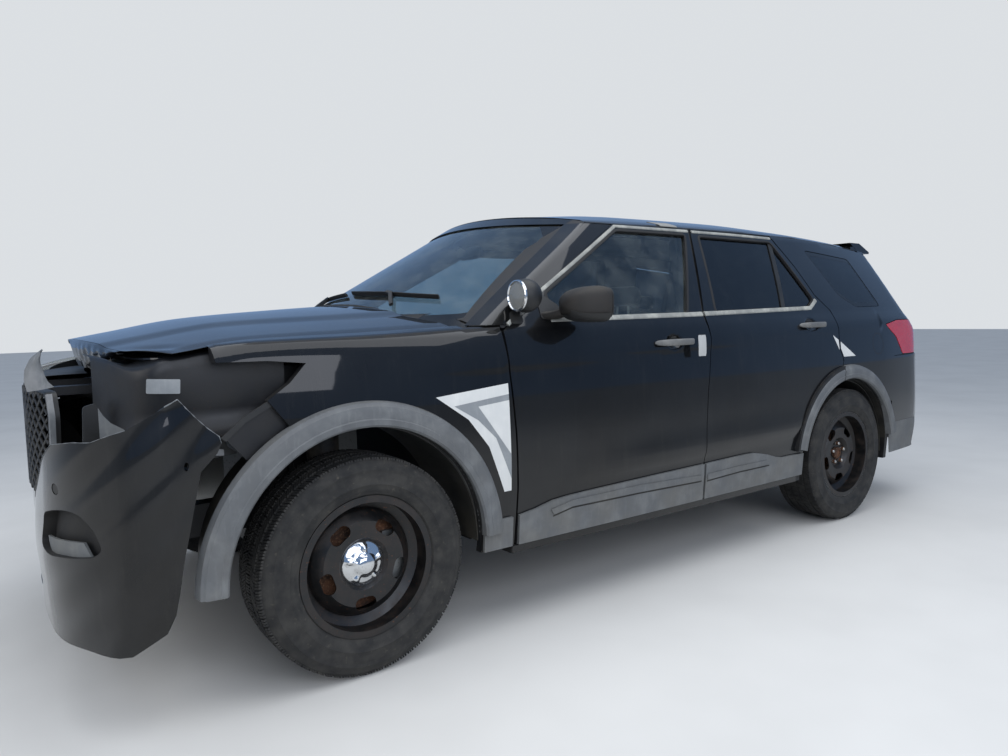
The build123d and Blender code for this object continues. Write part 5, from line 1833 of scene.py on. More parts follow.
strip("grille_surround", "root", black_plastic, nose_flat, rounded(grille_frame, 20),
      [(-9, -26), (-9, 3), (-5, 7), (5, 7), (9, 3), (9, -26)], 1, 1, True)
strip("grille_bright_edge", "root", pale_plastic_and_highlight, nose_flat, [(398, 1000), (422, 930), (410, 843)],
      [(8, -10), (8, 8), (18, 6), (18, -10)], 1, 1)
disc = stacked((2398, 0, 905), 1, 0.72, [(0, 62), (12, 62), (18, 57), (20, 40), (21, 3)])
solid_rows("blank_badge_disc", "root", black_plastic, disc)
print("grille frame done")

# %% [markdown]
# ## Headlamp and tail lamps
# The right headlamp is still there. A lamp is a clear lens over a black bezel with bright
# bowls in it. The tail lamps are red right through and wrap round the corner.

# %% Right headlamp
def nose_u(x, z):
    return float(meet(0.0, 890.0, lambda u: nose_skin(u, z)[..., 0] > x))


lamp_edge = [
    (nose_u(x, z), z)
    for x, z in (
        (1712.0, 1086.0), (1764.0, 1033.0), (1838.0, 984.0), (1988.0, 911.0), (2120.0, 906.0), (2280.0, 896.0)
    )
]
lamp_edge += [
    (872, 892), (872, 1020), (760, 1040), (nose_u(2200.0, 1070.0), 1070), (nose_u(1974.0, 1094.0), 1094),
    (nose_u(1821.0, 1097.0), 1097)
]
lens = panel("headlamp_lens", "root", lamp_lens, nose_skin, lamp_edge, (), -1, -1, 3, 3, 26)
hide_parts("headlamp_right")
panel("headlamp_bezel", "root", black_plastic, nose_skin, grown(lamp_edge, -3), (), -1, -1, -58, 3, 26)
for index, (u, z) in enumerate(((430, 1015), (560, 1000), (690, 985))):
    at = nose_skin(u, z).reshape(-1, 3)[0]
    facing = surface_normals(nose_skin, np.array([[u, z]], float), -1)[0]
    side_way = np.cross(facing, [0, 0, 1.0])
    up_way = np.cross(side_way, facing)
    rings = []
    for depth, radius in (
        (-56, 22), (-50, 34), (-36, 42), (-22, 47), (-18, 47), (-20, 44), (-34, 38), (-47, 28), (-50, 4)
    ):
        centre = at + facing * depth
        rings.append([centre + side_way * a + up_way * b for a, b in superellipse(32, radius, radius * 0.85)])
    solid_rows(f"headlamp_bowl_{index}", "root", lamp_chrome, rings, -1)
strip("headlamp_light_bar", "root", tag_card, nose_skin, [(420, 1062), (560, 1056), (700, 1046), (850, 1040)],
      [(-5, -30), (-5, -20), (5, -20), (5, -30)], -1)
print("headlamp done")

# %% Tail lamps
tail_edge = [(tail_u(1122.0, x=-1958.0), 1122), (tail_u(1143.0, x=-2107.0), 1143)]
tail_edge += [(tail_u(z, y=661), z) for z in (1143.0, 1100.0, 1040.0, 990.0, 936.0)]
tail_edge += [(tail_u(936.0, x=-2149.0), 936), (tail_u(1043.0, x=-2078.0), 1043)]
for side, word in sides:
    round_edge = rounded(tail_edge, 10)
    lens = panel("tail_lens_" + word, "root", tail_lens, tail_skin, round_edge, (), side, -1, 5, 7, 22)
    panel("tail_lamp_bowl_" + word, "root", lamp_chrome, tail_skin, grown(round_edge, -9), (), side, -1, -26,
          2, 22)
    if side > 0:
        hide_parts("tail_lamps")
    clear = [
        (tail_u(1010.0, y=y), z)
        for y, z in ((850.0, 1018.0), (690.0, 1018.0), (690.0, 962.0), (850.0, 962.0))
    ]
    panel("reverse_lamp_" + word, "root", lamp_lens, tail_skin, rounded(clear, 8), (), side, -1, 6, 2, 22)
print("tail lamps done")

# %% [markdown]
# ## The tail
# The liftgate is pressed with a number plate recess. A spoiler shades its glass. The
# bumper's top is painted, and its lower part is left grey.

# %% Liftgate
gate_edge = [
    (-652, 668), (652, 668), (652, 1250), (646, 1400), (600, 1588), (-600, 1588), (-646, 1400), (-652, 1250)
]
gate_window = rounded([(-585, 1215), (585, 1215), (520, 1560), (-520, 1560)], 40)


def gate_surface(y, z):
    """The tail with a shallow recess round the number plate."""
    points = tail_face(y, z)
    across, up = np.abs(points[..., 1]), points[..., 2]
    points[..., 0] += 9 * ramp(across, 330, 300) * ramp(up, 650, 690) * ramp(up, 960, 925)
    points[..., 0] -= 7 * np.exp(-(((up - 1010) / 26) ** 2))
    return points


gate_lattice = [(y, z) for y in np.arange(-345, 346, 15.0) for z in np.arange(665, 1060, 15.0)]
plate_space = [(-190, 700), (190, 700), (190, 900), (-190, 900)]
panel("liftgate_skin", "liftgate", body_paint, gate_surface, rounded(gate_edge, 16),
      [gate_window, rounded(plate_space, 10)], 1, -1, 3, 1.5, 34, extra=gate_lattice)
gate_pane = panel("liftgate_pane", "liftgate", tinted_glass, tail_face, grown(gate_window, 5), (), 1, -1, -4,
                  5, 60)
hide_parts("liftgate_glass")
strip("liftgate_window_seal", "liftgate", seal_rubber_and_shade, tail_face, gate_window,
      [(-8, -8), (-8, 4), (0, 5), (8, 3), (8, -8)], 1, -1, True)
strip("liftgate_trim", "liftgate", black_plastic, gate_surface, [(-560, 950), (560, 950)],
      [(-22, -6), (-22, 6), (-14, 14), (14, 14), (22, 6), (22, -6)], 1, -1)
print("liftgate skin done")

# %% Spoiler, stop lamp and wiper
spoiler_rows = []
spoiler_section = [
    (-2188, 1661), (-2240, 1664), (-2300, 1658), (-2370, 1634), (-2424, 1606),
    (-2432, 1598), (-2426, 1589), (-2340, 1588), (-2286, 1592), (-2200, 1640),
]
for y in np.linspace(-590, 590, 41):
    bend = (abs(y) / 590) ** 3
    spoiler_rows.append([
        (x + 120 * bend * ramp(-x, 2180, 2430), y, z - 34 * bend * ramp(z, 1560, 1650))
        for x, z in spoiler_section
    ])
solid_rows("liftgate_spoiler", "liftgate", body_paint, spoiler_rows, 1)
stop_lamp = [
    [(-2431, y, 1600), (-2434, y, 1597), (-2434, y, 1593), (-2428, y, 1590)]
    for y in np.linspace(-150, 150, 9)
]
solid_rows("high_stop_lamp", "liftgate", tail_lens, stop_lamp, 1)
wiper = [
    [(float(tail_x(y, z)) - 14 + a, y, z + b) for a, b in superellipse(8, 3, 5)]
    for y, z in ((0, 1222), (120, 1236), (260, 1250), (400, 1262))
]
solid_rows("rear_wiper", "liftgate", black_plastic, wiper, 1)
print("liftgate done")

# %% Rear bumper's surface
bumper_plan = (-1988, 990, -2440, 900, -2600, 640, -2656)


def bumper_skin(u, z):
    u, z = pair(u, z)
    points = wrapped_end(u, z, (-1700, 400), -1, lambda x, h: cabin_y(x, np.minimum(h, 930)) + 2,
                         lambda y, h: plan_arcs(y, bumper_plan, -1))
    points[..., 0] += (26 * ramp(z, 480, 322) + 20 * ramp(z, 560, 930)) * ramp(u, 300, 620)
    return points


start_u = float(meet(0.0, 890.0, lambda u: bumper_skin(u, 600.0)[..., 0] < -1996))
edge_u = float(meet(0.0, 890.0, lambda u: bumper_skin(u, 800.0)[..., 1] < 664))
upper = [
    (1300, 517), (1300, 657), (edge_u + 6, 657), (edge_u, 664), (edge_u, 926), (520, 927),
    (start_u + 12, 927), (start_u, 900), (start_u, 517)
]
lower = [(1300, 326), (1300, 516), (start_u, 516), (start_u, 430), (start_u + 30, 326)]
print("the bumper's side starts at", round(start_u), "and its top edge at", round(edge_u))

# %% Rear bumper
for side, word in sides:
    piece = panel("rear_bumper_upper_" + word, "root", body_paint, bumper_skin, upper, (), side, -1, 2, 3, 34)
    if side > 0:
        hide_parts("rear_bumper")
    panel("rear_bumper_lower_" + word, "root", flare_plastic, bumper_skin, lower, (), side, -1, 2, 3, 34)
    edge = [bumper_skin(u, 657.0) for u in np.linspace(edge_u + 4, 1300, 30)]
    step = [
        [(x + back, y, z) for back, z in ((-1, 655), (3, 660), (14, 662), (60, 663), (150, 664))]
        for x, y, _ in edge
    ]
    lofted("rear_bumper_step_" + word, "root", flare_plastic, step, side, 3)
    cheek = [
        [
            (float(bumper_skin(edge_u, z)[..., 0]) + back, 662 - 2 * k, z)
            for k, back in enumerate((-1, 4, 60, 120))
        ] for z in np.linspace(656, 927, 12)
    ]
    lofted("rear_bumper_cheek_" + word, "root", body_paint, cheek, side, 2)
    panel("rear_reflector_" + word, "root", tail_lens, bumper_skin,
          rounded([(560, 560), (720, 560), (720, 592), (560, 592)], 8), (), side, -1, 4, 3, 20)
print("tail done")

# %% [markdown]
# ## Wheels
# A tyre is a ring of rubber with a profile that can be drawn once and turned round the axle.
# Its tread is hundreds of small blocks, so one slice of blocks is modelled, and Geometry
# Nodes copies it round the wheel. The same tree sets out the wheel nuts.

# %% Turned shapes and rings of copies
wheel_places = {
    f"{end}_{word}": (axle, 849.5 * side, 381.5, side)
    for end, axle in (("front", front_axle), ("rear", rear_axle)) for side, word in sides
}


print("wheels", list(wheel_places))


def turned(name, body, material, profile, place, segments=96, smooth_angle=35):
    """A closed profile of (outward distance, radius) turned round a wheel's axle."""
    x, y, z, side = place
    rows = [
        [(x + r * math.cos(a), y + side * out, z + r * math.sin(a)) for out, r in profile]
        for a in np.linspace(0, 2 * math.pi, segments + 1)
    ]
    rows[-1] = rows[0]
    return solid_rows(name, body, material, rows, 1, smooth_angle=smooth_angle)


def copies_tree():
    tree, given = node_tree("copies_round_axle", [
        ("Count", "NodeSocketInt", 5), ("Material", "NodeSocketMaterial", None),
    ])
    points = add(tree, "GeometryNodePoints", None, {"Count": given["Count"]})
    index = add(tree, "GeometryNodeInputIndex")
    step = add(tree, "ShaderNodeMath", {"operation": "DIVIDE", 0: 2 * math.pi}, {1: given["Count"]})
    angle = add(tree, "ShaderNodeMath", {"operation": "MULTIPLY"}, {0: index, 1: step})
    turn = add(tree, "ShaderNodeCombineXYZ", None, {"Y": angle})
    copies = add(tree, "GeometryNodeInstanceOnPoints", None,
                 {"Points": points, "Instance": given["Geometry"], "Rotation": turn})
    whole = add(tree, "GeometryNodeRealizeInstances", None, {"Geometry": copies})
    painted = add(tree, "GeometryNodeSetMaterial", None, {"Geometry": whole, "Material": given["Material"]})
    add(tree, "NodeGroupOutput", None, {"Geometry": painted})
    return tree


copies = copies_tree()
print("nodes in the tree for the copies", len(copies.nodes))


# %% Rings of copies and the tread
def ring_of(name, body, material, points, faces, count, place, slot=None):
    """Copies of a small mesh, drawn beside the axle at the top of the wheel, round that wheel."""
    mesh = bpy.data.meshes.new(name)
    mesh.from_pydata([(x * 0.001, y * 0.001 * place[3], z * 0.001) for x, y, z in points], [], faces)
    shape = bmesh.new()
    shape.from_mesh(mesh)
    bmesh.ops.recalc_face_normals(shape, faces=shape.faces)
    shape.to_mesh(mesh)
    shape.free()
    obj = add_object(name, mesh)
    grown_by_nodes(obj, copies, body, material, slot, Count=count)
    obj.data.transform(Matrix.Translation(to_frame(place[:3])))
    return obj


def tread_slice():
    """Five rows of blocks; each block is cut by fine slots that bite into snow."""
    points, faces = [], []
    for middle, width, skew, shift in (
        (-89, 34, 5, 0), (-45, 36, -9, 7), (0, 34, 0, 2), (45, 36, 9, 7), (89, 34, -5, 0)
    ):
        for slot_index in range(3):
            x0 = shift - 15 + slot_index * 9.4
            x1 = x0 + 8.2
            edge = 1.5 if abs(middle) > 80 else 0
            base = len(points)
            for top, height, inset in ((0, 371, 0), (1, 380.6 - edge, 0.8)):
                for x, y in ((x0, -1), (x1, -1), (x1, 1), (x0, 1)):
                    yy = middle + y * (width / 2 - inset * top)
                    xx = x + (inset if x == x0 else -inset) * top + skew * y
                    drop = 2.4 if abs(yy) > 100 else 0
                    points.append((xx, yy, math.sqrt(max((height - drop) ** 2 - xx**2, 1))))
            a = base
            faces += [
                (a + 4, a + 5, a + 6, a + 7), (a, a + 1, a + 5, a + 4), (a + 1, a + 2, a + 6, a + 5),
                (a + 2, a + 3, a + 7, a + 6), (a + 3, a, a + 4, a + 7), (a + 3, a + 2, a + 1, a)
            ]
    return points, faces


print("faces in a slice of tread", len(tread_slice()[1]))

# %% [markdown]
# Half of the tyre's section runs from the bead over the side wall to the tread; the other
# half is its mirror image.

# %% Tyres
blocks_round = 74
tyre_half = [
    (96, 231), (101, 232), (102, 246), (108, 249), (113, 253), (114, 257), (118, 262), (121, 272),
    (123.5, 284), (125.4, 286), (125.4, 290), (124.6, 292), (125.6, 308), (125.2, 322), (124, 332),
    (125, 334), (124.6, 338), (121, 342), (118, 352), (112, 362), (105, 369), (98, 372.5), (68, 373.5),
    (66, 371.5), (62, 371.5), (60, 374), (26, 375), (24, 371.5), (20, 371.5), (18, 375),
]
tyre_profile = tyre_half + [(-out, r) for out, r in reversed(tyre_half)]
block_points, block_faces = tread_slice()
for where, place in wheel_places.items():
    body = "wheel_" + where
    tyre = turned("tyre_carcass_" + where, body, tyre_rubber, tyre_profile, place)
    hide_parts("tyre_" + where)
    ring_of("tyre_tread_" + where, body, tyre_rubber, block_points, block_faces, blocks_round, place,
            "tyre_rubber")
print("tread triangles a wheel", blocks_round * len(block_faces) * 2)

# %% [markdown]
# The front wheels keep their bright centre caps, with a bump over each nut. The rear ones
# have lost theirs, so the nuts and the rusty hub show.

# %% Caps, nuts and valves
def centre_cap(name, body, place):
    x, y, z, side = place
    rows = []
    for r, out in (
        (82, 46), (83, 52), (80, 57), (74, 60), (66, 66), (57, 70), (48, 72), (40, 78), (32, 88), (22, 93),
        (10, 95), (2, 95.5)
    ):
        row = []
        for a in np.linspace(0, 2 * math.pi, 81)[:-1]:
            bump = 13 * math.exp(-((r - 57) / 13) ** 2) * max(0.0, math.cos(5 * (a - math.pi / 2))) ** 3
            bump = bump if 38 < r < 76 else 0
            row.append((x + r * math.cos(a), y + side * (out + bump), z + r * math.sin(a)))
        rows.append(row)
    return solid_rows(name, body, bright_chrome, rows, 1, smooth_angle=60)


def wheel_nut():
    points, faces = [], []
    rings = [(44, 11.5), (50, 11.5), (52, 9.6), (66, 9.6), (69, 7.5), (70, 2)]
    for out, r in rings:
        for k in range(12):
            a = 2 * math.pi * k / 12
            flat = 1.0 if out < 51 or k % 2 == 0 else 0.9
            points.append((r * flat * math.cos(a), out, 57.15 + r * flat * math.sin(a)))
    for i in range(len(rings) - 1):
        faces += [
            (i * 12 + k, i * 12 + (k + 1) % 12, (i + 1) * 12 + (k + 1) % 12, (i + 1) * 12 + k)
            for k in range(12)
        ]
    faces.append(tuple(range((len(rings) - 1) * 12, len(rings) * 12)))
    return points, faces


nut_points, nut_faces = wheel_nut()
print("points in a nut", len(nut_points))

# %% Put on caps, nuts and valves
for where, place in wheel_places.items():
    body = "wheel_" + where
    if where.startswith("front"):
        centre_cap("centre_cap_" + where, body, place)
    else:
        ring_of("wheel_nuts_" + where, body, nut_steel, nut_points, nut_faces, 5, place, "rusted_iron")
        turned("hub_rim_" + where, body, rusted_iron,
               [(40, 33), (58, 33), (61, 30), (61, 24), (52, 22), (52, 4), (40, 4)], place, 40)
    edge = [(101.5, 229), (104.5, 231), (107.5, 238), (108, 246.2), (105.5, 247), (103, 244)]
    turned("rim_edge_" + where, body, bare_steel if where == "rear_left" else wheel_steel, edge, place)
    x, y, z, side = place
    stem = [
        [
            (x + 205 * math.sin(0.63) + a, y + side * out, z + 205 * math.cos(0.63) + b)
            for a, b in superellipse(8, r, r)
        ]
        for out, r in ((30, 5.2), (50, 4), (62, 3.6), (64, 1.6))
    ]
    solid_rows("valve_stem_" + where, body, seal_rubber_and_shade, stem)
print("wheels done")

# %% [markdown]
# ## The cabin
# Through the glass one sees two front seats, a rear bench, a dashboard and door cards. The
# seats are foam under woven cloth. Each cushion starts as a crowned form a little smaller
# than the real one. It is remeshed evenly and blown up by the cloth solver, so that the cloth
# is tight in the middle and pulls in at its edges.

# %% Stuffed pads
def blown_up(obj, voxel=0.014, pressure=4.0, reach=0.012):
    """Voxel remesh, cloth with pressure, and a cap on how far any point moves."""
    remesh = obj.modifiers.new("remesh", "REMESH")
    remesh.mode, remesh.voxel_size = "VOXEL", voxel
    graph = bpy.context.evaluated_depsgraph_get()
    even = bpy.data.meshes.new_from_object(obj.evaluated_get(graph))
    obj.modifiers.clear()
    obj.data = even
    rest = np.array([tuple(v.co) for v in even.vertices])
    cloth = obj.modifiers.new("cloth", "CLOTH")
    cloth.settings.use_pressure = True
    cloth.settings.uniform_pressure_force = pressure
    cloth.settings.effector_weights.gravity = 0.0
    cloth.settings.quality = 4
    scene = bpy.context.scene
    for frame_number in range(1, 21):
        scene.frame_set(frame_number)
    graph = bpy.context.evaluated_depsgraph_get()
    swollen = np.array([tuple(v.co) for v in obj.evaluated_get(graph).data.vertices])
    obj.modifiers.clear()
    scene.frame_set(1)
    shift = swollen - rest
    length = np.linalg.norm(shift, axis=1)[:, None]
    rest = rest + shift * np.minimum(1, reach / np.maximum(length, 1e-9))
    obj.data.vertices.foreach_set("co", rest.ravel())
    obj.data.update()
    finer = obj.modifiers.new("finer", "SUBSURF")
    finer.levels = finer.render_levels = 1
    obj.data = bpy.data.meshes.new_from_object(obj.evaluated_get(bpy.context.evaluated_depsgraph_get()))
    obj.modifiers.clear()
    obj.data.shade_smooth()
    return obj


print("cloth solver runs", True)


# %% Forms of the pads and their seams
def pad_rings(spine, half_widths, half_depths, power=3.2, count=40):
    """Superellipse rings across the car, set on a spine of (x, z, lean in degrees) points."""
    rows = []
    for (x, z, lean), half_y, half_n in zip(spine, half_widths, half_depths):
        c, s = math.cos(math.radians(lean)), math.sin(math.radians(lean))
        rows.append([(x + b * c, a, z + b * s) for a, b in superellipse(count, half_y, half_n, power)])
    return rows


def pad(name, spine, half_widths, half_depths, middle_y, steps=28):
    """A pad along a spine; its ends close in so that the form is crowned all round."""
    t = np.linspace(0, 1, steps)
    k = np.linspace(0, 1, len(spine))
    line = [np.interp(t, k, [p[i] for p in spine]) for i in range(3)]
    close = np.sqrt(np.clip(1 - np.abs(2 * t - 1) ** 7, 0.02, 1))
    wide = np.interp(t, k, half_widths) * (0.86 + 0.14 * close)
    deep = np.interp(t, k, half_depths) * close
    rows = np.array(pad_rings(list(zip(*line)), wide, deep)) + [0, middle_y, 0]
    obj = solid_rows(name, "root", seat_cloth, rows, 1)
    obj.parent = None
    blown_up(obj)
    put(obj, "root", seat_cloth)
    return obj


def seam(name, obj, points, closed=True):
    """A sewn bead that follows the pad's surface, found by the nearest point on it."""
    path = []
    for p in dense(points, 24, closed):
        found, place, normal, _ = obj.closest_point_on_mesh(Vector(to_frame(p)))
        path.append(np.array(place) * 1000 - np.array([middle_x * 1000, 0, 0]) + np.array(normal) * 1.0)
    path = np.array(path)
    ahead = np.roll(path, -1, 0) - np.roll(path, 1, 0)
    if not closed:
        ahead[0], ahead[-1] = path[1] - path[0], path[-1] - path[-2]
    rows = []
    for p, d in zip(path, ahead):
        d = d / max(np.linalg.norm(d), 1e-6)
        one = np.cross(d, [0.3, 0.2, 1.0])
        one /= np.linalg.norm(one)
        two = np.cross(d, one)
        rows.append([p + one * a + two * b for a, b in superellipse(8, 3.2, 3.2)])
    if closed:
        rows.append(rows[0])
    return solid_rows(name, "root", lanyard, rows, 1)


print("seat tools ready")

# %% Front seats
def front_seat(word, middle):
    cushion = pad("front_cushion_" + word, [(-140, 560, 90), (60, 566, 90), (250, 578, 88), (330, 580, 84)],
                  [205, 218, 222, 205], [62, 68, 70, 58], middle)
    back = pad("front_back_" + word, [(-180, 600, 8), (-205, 760, 8), (-240, 1000, 10), (-272, 1205, 12)],
               [212, 222, 214, 176], [48, 56, 54, 42], middle)
    pad("front_head_" + word, [(-258, 1262, 6), (-262, 1310, 6), (-266, 1366, 6)], [112, 122, 104],
        [38, 46, 36], middle, steps=16)
    for index, y in enumerate((-105, 105)):
        seam(f"cushion_seam_{word}_{index}", cushion,
             [(-120, middle + y, 660), (100, middle + y, 670), (335, middle + y, 672)], False)
        seam(f"back_seam_{word}_{index}", back,
             [(-120, middle + y, 640), (-150, middle + y, 900), (-205, middle + y, 1190)], False)
    for index, y in enumerate((-40, 40)):
        post = [
            [(-266 + a, middle + y + b, z) for a, b in superellipse(12, 6, 6)] for z in (1190, 1225, 1262)
        ]
        solid_rows(f"head_post_{word}_{index}", "root", nut_steel, post, 1)
    base = [
        [(90 + a, middle + b, z) for a, b in superellipse(32, half, 205, 5)]
        for z, half in ((404, 236), (450, 248), (505, 250), (520, 240))
    ]
    solid_rows("seat_base_" + word, "root", cabin_plastic, base, 1)
    shell = [
        [(x - 50 + a * 0.3, middle + b, z) for a, b in superellipse(28, 60, half, 4)]
        for x, z, half in ((-196, 600, 205), (-222, 800, 212), (-258, 1010, 204), (-286, 1180, 165))
    ]
    solid_rows("seat_back_shell_" + word, "root", cabin_plastic, shell, 1)
    return cushion


first = front_seat("left", 405)
front_seat("right", -405)
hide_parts("front_seats")
print("front seats done")

# %% Rear bench
bench = pad("rear_cushion", [(-640, 660, 90), (-760, 664, 90), (-1000, 650, 90)], [575, 598, 590],
            [62, 70, 64], 0)
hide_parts("rear_seat")
for word, middle in (("left", 318), ("right", -318)):
    back = pad("rear_back_" + word, [(-1085, 700, 6), (-1110, 850, 6), (-1140, 1030, 8), (-1166, 1190, 10)],
               [282, 296, 292, 256], [44, 52, 50, 38], middle)
    pad("rear_head_" + word, [(-1150, 1245, 4), (-1154, 1290, 4), (-1158, 1340, 4)], [110, 120, 100],
        [34, 40, 32], middle, steps=16)
    for index, y in enumerate((-130, 130)):
        seam(f"rear_seam_{word}_{index}", back,
             [(-1040, middle + y, 720), (-1070, middle + y, 950), (-1110, middle + y, 1180)], False)
base = [
    [(-820 + a, b, z) for a, b in superellipse(40, half, 585, 6)]
    for z, half in ((404, 230), (500, 245), (600, 250))
]
solid_rows("rear_seat_base", "root", cabin_plastic, base, 1)
print("bench done")

# %% [markdown]
# The roof lining, door cards and dash pieces finish what shows through the glass. The screen
# and the gauges are blank.

# %% Lining, cards and dash
lining = []
for share in np.linspace(0.03, 0.985, 30):
    across = np.linspace(0.16, 1, 15)
    x = header_x + (-2150 - header_x) * share
    x = np.interp(across, np.linspace(0, 1, roof_columns), x)
    edge, rise = rail_z(x), roof_z(x) - rail_z(x)
    radius = (rail_y(x) ** 2 + rise**2) / (2 * rise)
    points = cabin_skin(x, edge + across * radius * np.arcsin(rail_y(x) / radius))
    points[:, 2] -= 48
    points[:, 1] *= 0.985
    lining.append(np.concatenate([points, points[-2::-1] * [1, -1, 1]]))
lofted("roof_lining", "root", roof_lining, np.array(lining), thickness=4)
print("lining rows", len(lining))

# %% Door cards and arm rests
front_card = [
    (770, 490), (-120, 490), (-142, 800), (-180, 1100), (-218, 1192), (600, 1192), (690, 1180), (768, 1140)
]
rear_card = [
    (-360, 490), (-945, 490), (-1075, 705), (-1262, 962), (-1285, 1195), (-412, 1195), (-395, 1100),
    (-375, 800)
]
for side, word in sides:
    for name, body, card, rest in (
        ("front", "front_door_", front_card, (420, -60, 870)),
        ("rear", "rear_door_", rear_card, (-480, -980, 880))
    ):
        panel(f"{name}_door_card_{word}", body + word, cabin_plastic, cabin_skin, rounded(card, 40), (), side,
              -1, -93, 9, 70)
        x1, x2, z = rest
        rows = []
        for t in np.linspace(0, 1, 15):
            x = x1 + (x2 - x1) * t
            size = (1 - abs(2 * t - 1) ** 6) ** 0.5 if 0 < t < 1 else 0.2
            y = float(cabin_y(x, z)) - 122
            rows.append([(x, y + a, z + b) for a, b in superellipse(20, 30 * size, 26 * size, 3)])
        solid_rows(f"{name}_arm_rest_{word}", body + word, seat_cloth, rows, side)
print("door cards done")

# %% Dash pieces
hood_rows = [
    [
        (700 + a, 370 + b, 1112 + 44 * (1 - (b / 200) ** 2) * k + (a + 90) * 0.05)
        for b in np.linspace(-196, 196, 25)
    ] for a, k in ((-92, 0.2), (-96, 0.9), (-80, 1.0), (0, 0.9), (80, 0.4), (120, 0.05))
]
lofted("gauge_hood", "root", cabin_plastic, np.array(hood_rows), thickness=6)
for name, middle, wide, tall, x, z in (
    ("gauge_glass", 370, 150, 56, 612, 1052), ("centre_screen", 0, 118, 74, 604, 1050)
):
    rows = stacked((x, middle, z), wide, tall, ((14, 0.98), (0, 1.0), (-3, 0.99), (-4, 0.93)), 7, 32, 0.42)
    solid_rows(name, "root", frit_enamel, rows, 1)
for index, y in enumerate((-640, -180, 180, 620)):
    for step in range(5):
        z = 1020 + step * 11
        rows = [[(617 + a, yy, z + b) for a, b in superellipse(8, 9, 1.6, 2)] for yy in (y - 44, y, y + 44)]
        solid_rows(f"vent_slat_{index}_{step}", "root", black_plastic, rows, 1)
rear_view = stacked((430, 0, 1552), 112, 34, ((26, 0.7), (14, 0.95), (0, 1.0), (-4, 0.97)), 4, 28)
solid_rows("inside_mirror", "root", black_plastic, rear_view, 1)
stem = [
    [(448 + 60 * t + a, b, 1562 + 36 * t) for a, b in superellipse(10, 7, 7)] for t in np.linspace(0, 0.72, 4)
]
solid_rows("inside_mirror_stem", "root", black_plastic, stem, 1)
print("cabin done")

# %% [markdown]
# ## Cowl and wipers
# A rubber lip closes the gap behind the hood, and two wiper blades rest low on the glass.

# %% Cowl lip and wipers
lip_path = [
    (y, float(hood_surface(hood_back[0][0], y)[2]) - 14 - 60 * (abs(y) / 860) ** 3)
    for y in np.linspace(-760, 760, 24)
]
strip("cowl_lip", "root", seal_rubber_and_shade, windshield_point, lip_path,
      [(-26, -6), (-26, 6), (-14, 14), (10, 14), (18, 4), (18, -6)], 1, 1)
for name, path in (
    ("left", [(600, 1306), (300, 1330), (-20, 1344)]), ("right", [(-70, 1338), (-340, 1322), (-600, 1298)])
):
    strip("wiper_blade_" + name, "root", seal_rubber_and_shade, windshield_point, path,
          [(-4, -4), (-5, 6), (-2, 16), (2, 16), (5, 6), (4, -4)], 1, 1)
    middle = path[1]
    foot = (middle[0] + 150, 1272)
    strip("wiper_arm_" + name, "root", black_plastic, windshield_point,
          [foot, (middle[0] + 40, middle[1] - 6), middle], [(-8, 8), (-8, 20), (8, 20), (8, 8)], 1, 1)
print("wipers done")

# %% [markdown]
# ## Finishes for the CAD parts that show
# The CAD parts left in view are structure, running gear and trim. Each gets the finish of
# what it is made of.

# %% Materials of the CAD nodes
inner_steel = dip_coated("undercoated_body_shell", "#101113", 0.55, "#37332c", 0.35, 0.2)
finishes = {
    f"{part}_{word}": inner_steel
    for part in ("body_side", "front_door", "rear_door", "front_fender") for _, word in sides
}
for finish, names in (
    (body_paint, "liftgate roof_panel"), (inner_steel, "firewall"), (overspray_and_painted_shade, "front_structure"),
    (primed_steel, "floor_pan front_struts front_subframe rear_suspension"), (radiator_fins, "radiator"),
    (engine_iron, "engine knuckle_left knuckle_right"), (black_plastic, "wheel_liners spotlight fuel_tank"),
    (cabin_plastic, "dashboard steering_wheel"), (exhaust_steel, "exhaust"),
    (wheel_steel, " ".join("rim_" + where for where in wheel_places)),
    (rusted_iron, " ".join("hub_" + where for where in wheel_places)),
):
    finishes |= dict.fromkeys(names.split(), finish)
for name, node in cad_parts.items():
    finish = finishes.get(name)
    if finish is None:
        if not node.hide_render:
            print("no finish for", name)
        continue
    node.data.materials.clear()
    node.data.materials.append(finish)
print("CAD nodes finished", len(finishes))

# %% [markdown]
# ## A room to stand in
# The car stands on a plain pale floor. The light is soft and comes from above, as under an
# overcast sky.

# %% Floor and light
def pale_floor():
    mesh = bpy.data.meshes.new("floor")
    mesh.from_pydata([(-40, -40, 0), (40, -40, 0), (40, 40, 0), (-40, 40, 0)], [], [(0, 1, 2, 3)])
    obj = add_object("floor", mesh)
    made, tree, main, place = shader("pale_studio_floor", "#d2d2d0", 0.85)
    age(tree, main, "#d3d3d1", [("#cbcbc9", patches(tree, place, 900, 0.3, 0.8, 3.0))], {}, [])
    mesh.materials.append(made)


def soft_lamp(name, place, aim, size, power, colour="#ffffff"):
    lamp = bpy.data.lights.new(name, "AREA")
    lamp.shape, lamp.size, lamp.size_y = "RECTANGLE", size[0], size[1]
    lamp.energy, lamp.color = power, linear(colour)[:3]
    obj = add_object(name, lamp)
    obj.location = place
    obj.rotation_euler = (Vector(aim) - Vector(place)).to_track_quat("-Z", "Y").to_euler()


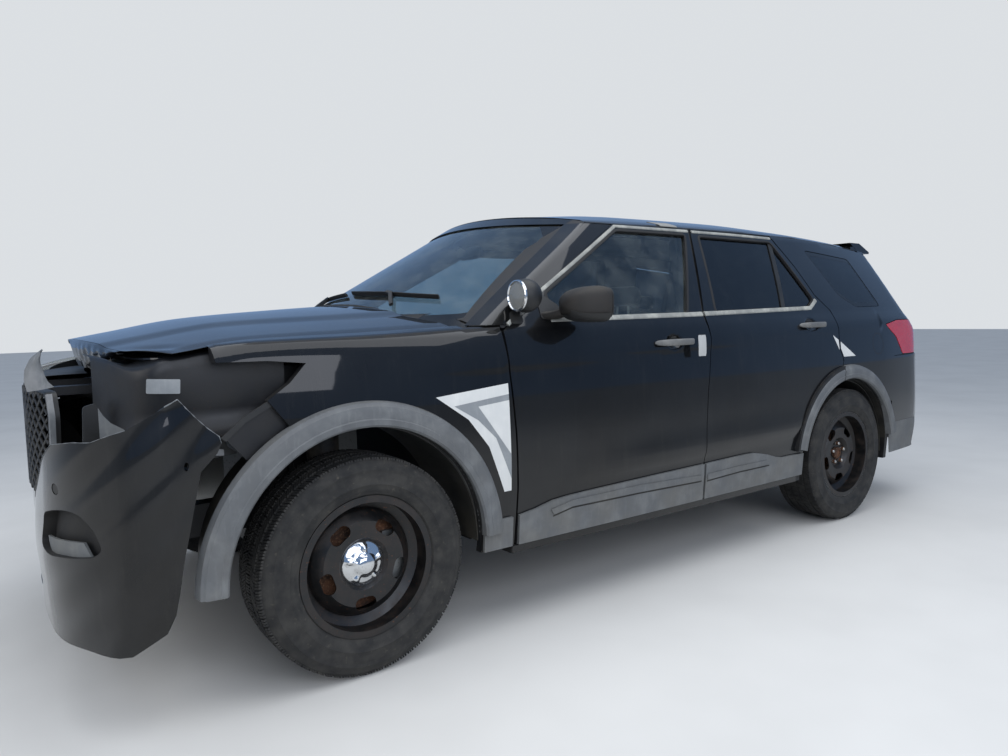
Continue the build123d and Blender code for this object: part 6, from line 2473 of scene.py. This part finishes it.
def sky():
    world = bpy.data.worlds.new("overcast_sky")
    bpy.context.scene.world = world
    world.use_nodes = True
    tree = world.node_tree
    back = tree.nodes["Background"]
    rays = add(tree, "ShaderNodeLightPath")
    mirrored = add(tree, "ShaderNodeMix", {"data_type": "RGBA", 6: linear("#b9c3d2"), 7: linear("#7f9cc4")},
                   {"Factor": rays.outputs["Is Glossy Ray"]})
    bright = add(tree, "ShaderNodeMix", {"data_type": "RGBA", 7: linear("#e6eaee")},
                 {"Factor": rays.outputs["Is Camera Ray"], 6: mirrored.outputs[2]})
    tree.links.new(bright.outputs[2], back.inputs["Color"])
    back.inputs["Strength"].default_value = 0.9


pale_floor()
sky()
soft_lamp("overhead", (0.5, 1.5, 5.5), (0, 0, 0.5), (7, 6), 260)
soft_lamp("left_side", (2.0, 6.5, 3.2), (0, 0, 0.8), (6, 3), 170, "#f4f7ff")
soft_lamp("front", (7.0, 0.5, 3.0), (1.5, 0, 0.7), (4, 3), 90, "#fff8ee")
bpy.context.scene.view_settings.view_transform = "Standard"
print("lamps", len(bpy.data.lights))


# %% [markdown]
# The camera's place and turn were solved from known points on the car. A lens that sees the
# reference's width of 1008 px from 741.6 px away is written here for a sensor 36 mm wide.

# %% Camera
def photo_camera():
    yaw, pitch, roll = math.radians(-125.984), math.radians(-4.744), math.radians(-1.334)
    ahead = Vector((math.cos(yaw) * math.cos(pitch), math.sin(yaw) * math.cos(pitch), math.sin(pitch)))
    right = ahead.cross(Vector((0, 0, 1))).normalized()
    up = right.cross(ahead)
    right, up = right * math.cos(roll) + up * math.sin(roll), up * math.cos(roll) - right * math.sin(roll)
    data = bpy.data.cameras.new("photo_camera")
    data.sensor_width, data.sensor_fit = 36.0, "HORIZONTAL"
    data.lens = 741.587 / 1008 * 36.0
    data.clip_end = 200
    obj = add_object("photo_camera", data)
    turn = Matrix((right, up, -ahead)).transposed()
    obj.matrix_world = Matrix.Translation(Vector((2.58208 + middle_x, 3.23820, 1.22370))) @ turn.to_4x4()
    bpy.context.scene.camera = obj


photo_camera()
print("lens", round(bpy.context.scene.camera.data.lens, 2), "mm")
